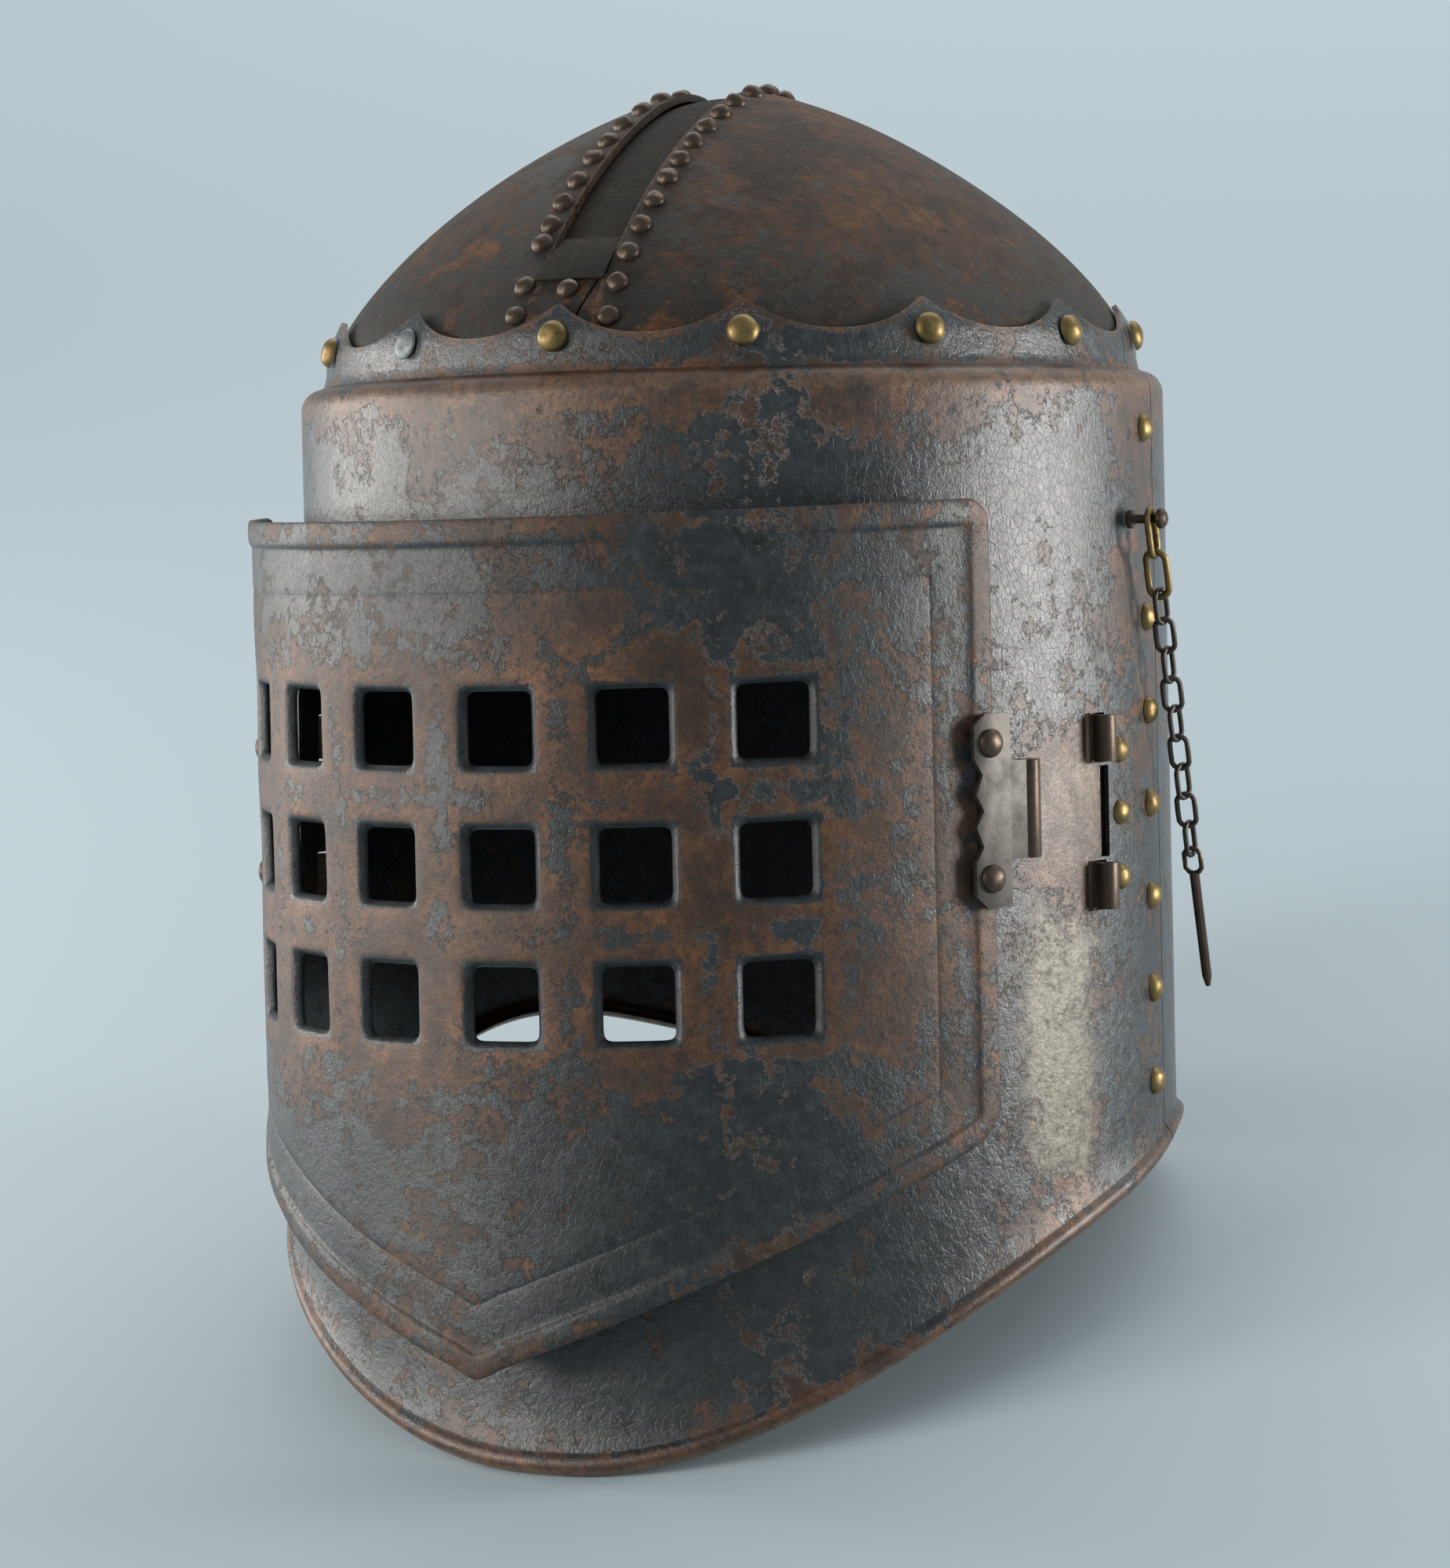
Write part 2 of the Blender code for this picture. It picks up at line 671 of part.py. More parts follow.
def make_dome_half(name, sign):
    """Half of the dome, cut straight along the band, with its row of iron rivets."""
    outer = dome_path(0.0, 9)
    inner = dome_path(-DOME_SHEET, 9)
    profile = outer + [(r, z) for r, z in reversed(inner)]
    profile[0] = (0.0, DOME_H)
    profile[-1] = (0.0, DOME_H - DOME_SHEET)
    steps = 40
    rings = []
    for i in range(steps):
        deg = 360 * i / steps
        rings.append([polar(deg, max(r, 0.0), z) for r, z in profile])
    points, faces = ring_data(rings)
    n = len(profile)
    faces = [f for f in faces if not {f[0] % n, f[1] % n} == {0, n - 1}]
    half = mesh_object(name, points, faces)
    x1, x2 = sorted((sign * CHANNEL_W / 2, sign * (DOME_R + 20)))
    reach = DOME_R + 30
    low = [(x1, -reach, -40), (x2, -reach, -40), (x2, reach, -40), (x1, reach, -40)]
    high = [(x, y, DOME_H + 20) for x, y, z in low]
    combine(half, mesh_object(name + "_side", *box_data(low, high), helper=True), "INTERSECT")
    if sign < 0:
        tab = []
        for deg in (-11, -5.3, 0, 4.0):
            loop = [(DOME_R, CREASE_Z + 1.5), (DOME_R, 0.0)]
            loop += [(path_at(DOME_OUT, z), z) for z in (8.0, 17.0)]
            loop += [(path_at(DOME_OUT, z) - DOME_SHEET * 1.0, z - 0.6) for z in (17.0, 8.0)]
            loop += [(DOME_R - DOME_SHEET, 0.0), (DOME_R - DOME_SHEET, CREASE_Z + 1.5)]
            tab.append([polar(deg, r, z) for r, z in loop])
        combine(half, mesh_object("front_tab", *sweep_data(tab), helper=True), "UNION")
    shapes = []
    for y_sign in (-1, 1):
        for r in crown_spots():
            spot, normal = dome_frame(y_sign, sign * CROWN_RIVET_X, r, 0.0)
            shapes.append(rivet_data(spot, normal, IRON_R, IRON_H, 6, 1.0))
    top = Vector((sign * CROWN_RIVET_X, 0.0, dome_z(CROWN_RIVET_X)))
    shapes.append(rivet_data(top, Vector((sign * 0.13, 0, 1)), IRON_R, IRON_H, 6, 1.0))
    if sign < 0:
        spot, normal = dome_frame(-1, 0.0, DOME_R - 7.5, 0.0)
        shapes.append(rivet_data(spot, normal, IRON_R, IRON_H, 6, 1.0))
    combine(half, mesh_object(name + "_rivets", *joined(shapes), helper=True), "UNION")
    return half


def leaned():
    """The turn that leans the upright helmet back."""
    return Matrix.Rotation(radians(-LEAN), 4, "X")


def main():
    for obj in list(bpy.data.objects):
        bpy.data.objects.remove(obj)
    paint = make_material("flaked_paint", (0.06, 0.075, 0.09), 0.35, 0.55)
    iron = make_material("dark_iron", (0.12, 0.085, 0.07), 0.7, 0.55)
    brass = make_material("aged_brass", (0.35, 0.25, 0.1), 0.9, 0.4)
    tin = make_material("grey_tin", (0.25, 0.26, 0.27), 0.8, 0.5)
    made = []

    def keep(obj, mat, origin=None):
        made.append((obj, mat, origin))

    front = wall_sector("barrel_front", -LAP_DEG, LAP_DEG)
    combine(front, mesh_object("face_opening", *face_cutter(), helper=True), "DIFFERENCE")
    left_pivot = visor_pivot(-1)
    left_deg = degrees(atan2(-left_pivot.x, -left_pivot.y))
    right_pivot = polar(KNUCKLE_DEG, BARREL_R + KNUCKLE_R + 0.5, 0.0)
    slots = joined(hinge_slots(1, KNUCKLE_DEG) + hinge_slots(-1, left_deg))
    combine(front, mesh_object("hinge_slots", *slots, helper=True), "DIFFERENCE")
    keep(front, paint)

    back = wall_sector("barrel_back", LAP_DEG + 0.25, 360 - LAP_DEG - 0.25)
    for sign in (-1, 1):
        under = BARREL_R - SHEET - UNDER_GAP
        sections = []
        marks = (LAP_TONGUE_DEG, (LAP_TONGUE_DEG + LAP_DEG) / 2, LAP_DEG + 0.3, LAP_DEG + 0.5, LAP_DEG + 3)
        for deg in marks:
            outer = 0.0 if deg < LAP_DEG + 0.4 else BARREL_R - 0.5 - under
            low = rim_z(sign * deg) + 4 * RIM_ROLL
            top = CREASE_Z - SHOULDER - 2
            bend = (CREASE_Z - SHOULDER + rim_z(sign * deg) + 2.3 * RIM_ROLL) / 2
            loop = []
            for z in (low, bend, top):
                loop.append((wall_r(sign * deg, z) - BARREL_R + under - SHEET, z))
            for z in (top, bend, low):
                loop.append((wall_r(sign * deg, z) - BARREL_R + under + outer, z))
            sections.append([polar(sign * deg, r, z) for r, z in loop])
        combine(back, mesh_object("lap_tongue", *sweep_data(sections), helper=True), "UNION")
    keep(back, paint)

    keep(make_dome_half("dome_left", -1), paint)
    keep(make_dome_half("dome_right", 1), paint)
    keep(make_strap(), paint)
    keep(make_visor(), paint, left_pivot)
    keep(visor_plate("visor_hinge_plate_left", -1), iron, left_pivot)
    keep(visor_plate("visor_hinge_plate_right", 1), iron, left_pivot)
    keep(barrel_leaf("barrel_hinge_leaf_left", -1, left_deg, left_pivot), iron)
    keep(barrel_leaf("barrel_hinge_leaf_right", 1, KNUCKLE_DEG, right_pivot), iron)

    top_z, low_z = knuckle_heights(-1)
    pin_top = top_z + KNUCKLE_END / 2 + GAP
    spots = [
        (Vector((left_pivot.x, left_pivot.y, low_z - KNUCKLE_END / 2 - 2)), PIN_R),
        (Vector((left_pivot.x, left_pivot.y, pin_top)), PIN_R),
        (Vector((left_pivot.x, left_pivot.y, pin_top + 0.01)), PIN_R * 1.9),
        (Vector((left_pivot.x, left_pivot.y, pin_top + 2.2)), PIN_R * 1.6),
    ]
    keep(mesh_object("hinge_pin_left", *rod_data(spots)), iron)

    # Steel rivets of the visor's hinge plates.
    for side, sign in (("left", -1), ("right", 1)):
        for label, up in (("upper", PLATE_HALF * 0.695), ("lower", -PLATE_HALF * 0.695)):
            deg = VISOR_MID + sign * (VISOR_HALF - PLATE_RIVET_IN * DEG_PER_MM)
            lift = VISOR_R + BEAD_H + GAP + SHEET + GAP + 0.1
            spot = visor_point(deg, lift, plate_mid(sign) + up)
            normal = visor_point(deg, 1, 0) - visor_point(0, 0, 0)
            name = "plate_rivet_%s_%s" % (side, label)
            keep(mesh_object(name, *rivet_data(spot, normal, 3.7, 1.9)), iron, left_pivot)

    # Brass rivets: one under each cusp, seven down each side seam and three on each hinge leaf.
    for k in range(SCALLOPS):
        deg = 360 / SCALLOPS * k
        r = DOME_R + FLANGE_GAP + SHEET + GAP + 0.25
        normal = (polar(deg, 1, 0) * 0.95 + Vector((0, 0, 0.22))).normalized()
        flat = k == SCALLOPS - 1
        shape = rivet_data(polar(deg, r, 0.4), normal, BRASS_R, 1.3 if flat else BRASS_H, 7)
        keep(mesh_object("crown_rivet_%02d" % (k + 1), *shape), tin if flat else brass)
    for side, sign in (("left", -1), ("right", 1)):
        marks = [SEAM_TOP] + [SEAM_SECOND + (SEAM_LOW - SEAM_SECOND) * i / 5 for i in range(6)]
        for i, z in enumerate(marks):
            deg = sign * SEAM_RIVET_DEG
            spot = polar(deg, wall_r(deg, z) + GAP, z)
            shape = rivet_data(spot, polar(deg, 1, 0), BRASS_R * 0.9, BRASS_H * 0.9, 7)
            keep(mesh_object("seam_rivet_%s_%d" % (side, i + 1), *shape), brass)
    for side, sign, deg in (("left", -1, left_deg), ("right", 1, KNUCKLE_DEG)):
        for label, up in (("upper", 0.63), ("middle", 0.0), ("lower", -0.648)):
            at = sign * (deg + 6.0)
            z = leaf_mid(sign) - 0.8 + up * LEAF_HALF
            spot = polar(at, wall_r(at, z) + GAP + 0.15, z)
            shape = rivet_data(spot, polar(at, 1, 0), BRASS_R * 0.82, BRASS_H * 0.8, 7)
            keep(mesh_object("hinge_rivet_%s_%s" % (side, label), *shape), brass)

    # The bolt, two brass hook links, the iron chain and the drawn pin, hanging straight down.
    outwards = Vector((1, 0, 0))
    down = Vector((0, sin(radians(LEAN)), -cos(radians(LEAN))))
    aside = down.cross(outwards)
    bolt = [
        (Vector((BARREL_R + GAP, CHAIN_Y, BOLT_Z)), 2.6),
        (Vector((BARREL_R + 1.8, CHAIN_Y, BOLT_Z)), 2.6),
        (Vector((BARREL_R + 1.81, CHAIN_Y, BOLT_Z)), 1.3),
        (Vector((CHAIN_X + 2.2, CHAIN_Y, BOLT_Z)), 1.3),
        (Vector((CHAIN_X + 2.21, CHAIN_Y, BOLT_Z)), 2.8),
        (Vector((CHAIN_X + 3.6, CHAIN_Y, BOLT_Z)), 2.8),
        (Vector((CHAIN_X + 4.6, CHAIN_Y, BOLT_Z)), 1.6),
    ]
    keep(mesh_object("chain_bolt", *rod_data(bolt)), iron)
    spot = Vector((CHAIN_X, CHAIN_Y, BOLT_Z))
    reach = HOOK_L / 2 - 2 * HOOK_WIRE - 1.3 - GAP
    first = spot + down * reach
    hooks = [link_data(first, down, aside, HOOK_L, HOOK_W, HOOK_WIRE)]
    second = first + down * (HOOK_L - 3.3 * HOOK_WIRE)
    hooks.append(link_data(second, down, outwards, HOOK_L, HOOK_W, HOOK_WIRE))
    hook_links = mesh_object("chain_hook_links", *hooks[0])
    combine(hook_links, mesh_object("second_link", *hooks[1], helper=True), "UNION")
    keep(hook_links, brass)
    at = second + down * (HOOK_L / 2 - 2 * HOOK_WIRE + LINK_L / 2 - 2 * LINK_WIRE - GAP * 1.4)
    chain = None
    for k in range(IRON_LINKS):
        wide = aside if k % 2 == 0 else outwards
        data = link_data(at, down, wide, LINK_L, LINK_W, LINK_WIRE)
        if chain is None:
            chain = mesh_object("chain", *data)
        else:
            combine(chain, mesh_object("next_link", *data, helper=True), "UNION")
        at = at + down * (LINK_L - 3.3 * LINK_WIRE)
    keep(chain, iron)
    last = at - down * (LINK_L - 3.3 * LINK_WIRE)
    wide = aside if IRON_LINKS % 2 == 0 else outwards
    eye_l = 9.0
    eye = last + down * (LINK_L / 2 - 2 * LINK_WIRE + eye_l / 2 - 2 * LINK_WIRE - GAP * 1.4)
    pin = mesh_object("hanging_pin_right", *link_data(eye, down, wide, eye_l, LINK_W, LINK_WIRE))
    top = eye + down * (eye_l / 2 - 1.2 * LINK_WIRE)
    stations = [(top, PIN_R), (top + down * (PIN_LONG - 3), PIN_R), (top + down * PIN_LONG, PIN_R * 0.5)]
    combine(pin, mesh_object("pin_rod", *rod_data(stations), helper=True), "UNION")
    keep(pin, iron)

    # Lean everything back, set it on the floor and centre its box on the origin.
    turn = leaned()
    low = Vector((1e9, 1e9, 1e9))
    high = Vector((-1e9, -1e9, -1e9))
    for obj, mat, origin in made:
        for v in obj.data.vertices:
            p = turn @ v.co
            low = Vector([min(a, b) for a, b in zip(low, p)])
            high = Vector([max(a, b) for a, b in zip(high, p)])
    shift = Vector(((low.x + high.x) / 2, (low.y + high.y) / 2, low.z))
    for obj, mat, origin in made:
        here = turn @ Vector((origin.x, origin.y, HINGE_MID)) - shift if origin else Vector((0, 0, 0))
        place = Matrix.Scale(0.001, 4) @ Matrix.Translation(-shift - here) @ turn
        obj.data.transform(place)
        obj.location = here * 0.001
        obj.data.materials.clear()
        obj.data.materials.append(mat)
    axis = turn.to_3x3() @ Vector((0, 0, -1))
    at = (turn @ Vector((left_pivot.x, left_pivot.y, HINGE_MID)) - shift) * 0.001
    print("visor axis", [round(x, 6) for x in axis], "through", [round(x, 6) for x in at])
    print("shift", [round(x, 4) for x in shift], "nodes", len(made))


main()
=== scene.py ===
# %% [markdown]
# An old iron great helmet: a barrel of two riveted plates, a dome in two halves over a band, and a
# hinged visor pierced with square holes. The imported CAD model is the frame that every piece sits on.
# It is loaded first.

# %% Load the frame
import json
from math import atan2, cos, degrees, exp, hypot, pi, radians, sin, sqrt, tan

import bmesh
import bpy
from mathutils import Matrix, Vector, noise


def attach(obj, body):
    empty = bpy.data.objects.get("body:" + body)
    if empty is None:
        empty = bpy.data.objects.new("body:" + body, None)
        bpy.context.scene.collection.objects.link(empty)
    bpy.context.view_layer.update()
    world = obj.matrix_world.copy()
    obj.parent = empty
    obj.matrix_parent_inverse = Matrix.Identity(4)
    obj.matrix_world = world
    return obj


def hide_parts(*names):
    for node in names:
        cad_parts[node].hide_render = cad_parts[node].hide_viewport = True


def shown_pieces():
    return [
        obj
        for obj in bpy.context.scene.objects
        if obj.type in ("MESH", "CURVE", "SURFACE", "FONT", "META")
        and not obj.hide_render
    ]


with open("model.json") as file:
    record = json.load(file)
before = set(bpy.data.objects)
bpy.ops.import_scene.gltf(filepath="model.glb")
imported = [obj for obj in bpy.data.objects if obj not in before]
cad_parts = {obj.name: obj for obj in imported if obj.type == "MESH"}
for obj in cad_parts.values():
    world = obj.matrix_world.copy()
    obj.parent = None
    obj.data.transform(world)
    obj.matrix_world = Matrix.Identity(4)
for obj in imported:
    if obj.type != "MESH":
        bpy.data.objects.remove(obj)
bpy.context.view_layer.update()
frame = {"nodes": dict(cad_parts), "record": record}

# %% [markdown]
# The helmet is worked out upright and in millimetres, with its front towards -Y, because a round
# barrel is simple to describe that way. At rest it leans back on its front tip and its rear rim,
# so one matrix turns the upright shape into the frame. Its shift comes from the visor's hinge,
# whose place the record gives.

# %% Named sizes and the way from upright millimetres to the frame
BARREL_R = 122.0
SHEET = 1.5
LEAN = 17.5
RIM_FRONT = -300.0
RIM_MID = -2.5
RIM_ARCH = 31.8
SKIRT_OUT = 9.2
SKIRT_DEG = -79.7
SKIRT_FOCUS = 1.97
RIM_ROLL = 3.2
DOME_R = 112.0
DOME_H = 74.0
DOME_SHEET = 2.2
FLANGE_GAP = 0.8
GAP = 0.3
SCALLOPS = 14
SCALLOP_TIP = 9.5
SCALLOP_VALLEY = 0.8
CREASE_Z = -9.0
SHOULDER = 9.0
ROUNDING = 6.0
REAR_ARCH = 26.0
REAR_ARCH_DEG = -136.0
REAR_ARCH_HALF = 40.0
BULGE = 6.5
LAP_DEG = 95.5
SEAM_RIVET_DEG = 91.5
CHANNEL_W = 19.0
STRAP_W = 34.0
STRAP_GAP = 0.8
CROWN_RIVET_X = 13.6
VISOR_R = 124.0
VISOR_X = -5.0
VISOR_Y = -17.0
VISOR_MID = -7.9
VISOR_HALF = 71.2
VISOR_TOP = -46.0
VISOR_TIP_DEG = -5.5
VISOR_END_LOW = -210.5
VISOR_TIP = -271.9
VISOR_CORNER = 8.0
BEAD_W = 6.6
BEAD_H = 1.8
HOLE = 19.0
HOLE_OUT = 24.0
HOLE_MID = -9.4
HOLE_STEP_DEG = 17.25
HOLE_ROWS = (-101.0, -137.0, -173.0)
HINGE_MID = -128.5
PLATE_UP = 1.7
LEAF_UP = -1.2
PLATE_RIVET_IN = 4.4
KNUCKLE_DEG = 75.7
KNUCKLE_MID = 26.0
KNUCKLE_END = 12.5
CHAIN_X = BARREL_R + 6.8
CHAIN_Y = -11.0
BOLT_Z = -51.0
DEG_PER_MM = degrees(1 / VISOR_R)


def polar(deg, r, z, cx=0.0, cy=0.0):
    """The point at this direction from the front (positive to +X), radius and height."""
    return Vector((cx + r * sin(radians(deg)), cy - r * cos(radians(deg)), z))


def visor_point(deg, r, z):
    return polar(deg, r, z, VISOR_X, VISOR_Y)


pivot = visor_point(VISOR_MID - VISOR_HALF - 11.5 * DEG_PER_MM, VISOR_R + 1.1, HINGE_MID)
hinge_at = Vector(frame["record"]["behaviour"]["joints"][0]["pos_m"])
lean_back = Matrix.Rotation(radians(-LEAN), 4, "X") @ Matrix.Scale(0.001, 4)
TO_FRAME = Matrix.Translation(hinge_at - lean_back @ pivot) @ lean_back
print("the upright origin lies at", [round(1000 * x, 1) for x in TO_FRAME.translation], "mm")

# %% [markdown]
# The camera comes next. The photograph was taken with a long lens from the front and a little to
# the helmet's left, level with its upper half. Lens and place were worked out from the round
# barrel, the rivets and the rows of holes, and are given upright, so they lean with the helmet.

# %% The camera
PHOTO_W, PHOTO_H = 1848, 1999
FOCAL_PX = 6314.0
CAM_AZIMUTH, CAM_ELEVATION, CAM_ROLL = 24.26, 2.71, -1.31
CAM_DISTANCE = 1415.7
CAM_TARGET = Vector((-4.9, 0.0, -123.65))

az, el = radians(CAM_AZIMUTH), radians(CAM_ELEVATION)
towards = Vector((sin(az) * cos(el), -cos(az) * cos(el), sin(el)))
right = Vector((cos(az), sin(az), 0.0))
above = towards.cross(right)
turn = Matrix.Rotation(radians(CAM_ROLL), 3, towards)
right, above = turn @ right, turn @ above
camera_data = bpy.data.cameras.new("camera")
camera_data.lens = FOCAL_PX / PHOTO_H * camera_data.sensor_width
camera_data.clip_start, camera_data.clip_end = 0.05, 50.0
camera = bpy.data.objects.new("camera", camera_data)
bpy.context.scene.collection.objects.link(camera)
upright_turn = Matrix((right, above, towards)).transposed()
lean_turn = Matrix.Rotation(radians(-LEAN), 3, "X")
camera.matrix_world = Matrix.Translation(TO_FRAME @ (CAM_TARGET + towards * CAM_DISTANCE)) @ (
    lean_turn @ upright_turn
).to_4x4()
bpy.context.scene.camera = camera
print("lens", round(camera_data.lens, 1), "mm, camera height", round(camera.location.z, 3), "m")

# %% [markdown]
# Every sheet of this helmet was cut flat, beaten or rolled to shape, and riveted. The same is done
# here: a flat grid is added, its lines are moved to their places on the real surface, and Solidify
# gives the sheet its thickness. On the dome's pieces a bevel softens the cut edges, which catch the
# light.


# %% Helpers for sheets
def clear_selection():
    if bpy.context.mode != "OBJECT":
        bpy.ops.object.mode_set(mode="OBJECT")
    bpy.ops.object.select_all(action="DESELECT")


def make_active(obj):
    clear_selection()
    obj.select_set(True)
    bpy.context.view_layer.objects.active = obj


def apply_modifier(obj, kind, **settings):
    """Adds a modifier with its settings and applies it."""
    make_active(obj)
    modifier = obj.modifiers.new(kind.lower(), kind)
    for name, value in settings.items():
        setattr(modifier, name, value)
    bpy.ops.object.modifier_apply(modifier=modifier.name)


def shaped_grid(name, columns, rows, place):
    """A flat grid whose lines are moved by place(column, row) to the surface of the sheet."""
    clear_selection()
    bpy.ops.mesh.primitive_grid_add(x_subdivisions=columns, y_subdivisions=rows, size=2)
    sheet = bpy.context.object
    sheet.name = name
    for vertex in sheet.data.vertices:
        column = round((vertex.co.x + 1) / 2 * columns)
        row = round((vertex.co.y + 1) / 2 * rows)
        vertex.co = place(column, row)
    return sheet


def edit_all(obj):
    """Edit Mode, with everything selected."""
    make_active(obj)
    bpy.ops.object.mode_set(mode="EDIT")
    bpy.ops.mesh.select_all(action="SELECT")


def face_outwards(sheet, centre):
    """Turns the faces of an open sheet away from this point."""
    lean = sum((f.center - centre).dot(f.normal) * f.area for f in sheet.data.polygons)
    if lean < 0:
        edit_all(sheet)
        bpy.ops.mesh.flip_normals()
        bpy.ops.object.mode_set(mode="OBJECT")


def merge_points(obj, distance=0.01):
    edit_all(obj)
    bpy.ops.mesh.remove_doubles(threshold=distance)
    bpy.ops.object.mode_set(mode="OBJECT")


def cut_with(obj, cutter, operation="DIFFERENCE"):
    """An exact Boolean with a cutter that is then removed."""
    apply_modifier(obj, "BOOLEAN", operation=operation, solver="EXACT", object=cutter)
    bpy.data.objects.remove(cutter)


def bump_at(value, middle, width):
    """1 at the middle, falling smoothly to 0 at this distance from it."""
    away = min(abs(value - middle) / width, 1.0)
    return (1 - away * away) ** 2


def inside(value, low, high, soft):
    """1 between low and high, with soft ends."""
    rise = min(max((value - low) / soft + 0.5, 0.0), 1.0)
    fall = min(max((high - value) / soft + 0.5, 0.0), 1.0)
    return rise * fall


def store_wear(obj, rule, is_flat=False):
    """Keeps at each point how bare (paint gone), rubbed (warm metal) and steely (pale grey) it is.
    The pale grey is partly bare steel and partly a painted highlight down the right side.
    """
    layers = [obj.data.attributes.new(n, "FLOAT", "POINT") for n in ("bare", "rubbed", "steel")]
    for vertex in obj.data.vertices:
        for layer, value in zip(layers, rule(vertex.co)):
            layer.data[vertex.index].value = value
    # The same spot as millimetres across and up the sheet, which places its scratches.
    flat = obj.data.attributes.new("flat", "FLOAT_VECTOR", "POINT")
    for vertex in obj.data.vertices:
        x, y, z = vertex.co
        place = (x, y, 0.0) if is_flat else (atan2(x, -y) * BARREL_R, z, 0.0)
        flat.data[vertex.index].vector = place


def finish_piece(obj, body, nodes=(), smooth=35, wear=None):
    """Shades a piece, leans it into the frame and hands it to its body."""
    if wear:
        store_wear(obj, wear)
    make_active(obj)
    bpy.ops.object.shade_smooth_by_angle(angle=radians(smooth))
    obj.data.transform(TO_FRAME)
    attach(obj, body)
    if nodes:
        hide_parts(*nodes)
    obj.data.materials.clear()
    return obj


def spread(first, last, steps):
    return [first + (last - first) * i / steps for i in range(steps + 1)]


# %% [markdown]
# The barrel's outline is the same at every direction except at its two ends: the scalloped flange
# at the top, which lies on the dome and rises to a cusp over each brass rivet, and the rolled lower
# edge, which arches up at the sides. The sheet was beaten by hand, so a slow wave is added too.


# %% The dome's curve and the barrel's outline
def dome_z(r):
    share = min(max(r / DOME_R, 0.0), 1.0)
    return DOME_H * (1 - share**1.5) ** 0.75


def dome_path(offset, rings):
    """Radius and height down the dome, moved out along its normal, with a short skirt."""
    path = []
    for r in [DOME_R * (1 - (1 - i / rings) ** 1.7) for i in range(rings + 1)]:
        a, b = max(r - 0.4, 0.0), min(r + 0.4, DOME_R)
        slope_r, slope_z = b - a, dome_z(b) - dome_z(a)
        size = hypot(slope_r, slope_z)
        nr, nz = (-slope_z / size, slope_r / size) if r > 0 else (0.0, 1.0)
        path.append((r + nr * offset, dome_z(r) + nz * offset))
    path[-1] = (DOME_R + offset, 0.0)
    path.append((DOME_R + offset, CREASE_Z + 1.0))
    return path


def path_at(path, z):
    for (r1, z1), (r2, z2) in zip(path, path[1:]):
        if z2 <= z <= z1:
            return r1 + (r2 - r1) * (z1 - z) / max(z1 - z2, 1e-9)
    return path[-1][0]


FLANGE = dome_path(FLANGE_GAP + SHEET, 40)


def skirt_out(deg):
    """How far the lower edge was knocked out of round, most of all on the far side."""
    return SKIRT_OUT * exp(SKIRT_FOCUS * (cos(radians(deg - SKIRT_DEG)) - 1))


def rim_z(deg):
    """Height of the lower edge: on the resting plane in front and behind, arched at the sides."""
    forward = (BARREL_R + skirt_out(deg)) * cos(radians(deg))
    plane = RIM_FRONT + (BARREL_R - forward) * tan(radians(LEAN))
    away = abs((deg - RIM_MID + 180) % 360 - 180)
    if away < 81:
        arch = sin(max(away - 3, 0.0) / 78 * pi / 2) ** 1.88
    elif away < 100:
        arch = 1.0
    else:
        arch = 0.5 + 0.5 * cos(min((away - 100) / 48, 1.0) * pi)
    rear = bump_at(abs((deg - REAR_ARCH_DEG + 180) % 360 - 180), 0.0, REAR_ARCH_HALF)
    return plane + RIM_ARCH * arch + REAR_ARCH * rear


def wall_r(deg, z):
    """Outside radius of the barrel's wall, which opens out towards the lower edge."""
    top = CREASE_Z - SHOULDER
    share = min(max((top - z) / (top - rim_z(deg) - 2.3 * RIM_ROLL), 0.0), 1.0)
    # An old bulge on the far side, behind the visor. Less is seen through its outermost holes.
    bulge = BULGE * inside(deg, -72, -44, 14) * inside(z, -212, -74, 34)
    return BARREL_R + skirt_out(deg) * share**2.3 + bulge


def scallop_z(deg):
    """Height of the flange's edge: sharp cusps with hollow arcs between them."""
    from_cusp = abs((deg / (360 / SCALLOPS) + 0.5) % 1.0 - 0.5) * 2
    return SCALLOP_VALLEY + (SCALLOP_TIP - SCALLOP_VALLEY) * (1 - from_cusp) ** 2.2


def beaten(point, size=38.0, amount=0.12):
    """The slow unevenness of a sheet beaten by hand, in millimetres."""
    return amount * noise.noise(Vector(point) / size)


# Cusps that stand off the dome a little, by their number from the front, as old ones do.
LIFTED = {-3: 1.0, -2: 1.5, 3: 1.3, 0: 0.3}
FLANGE_ROWS = (1.0, 0.86, 0.66, 0.42, 0.18)


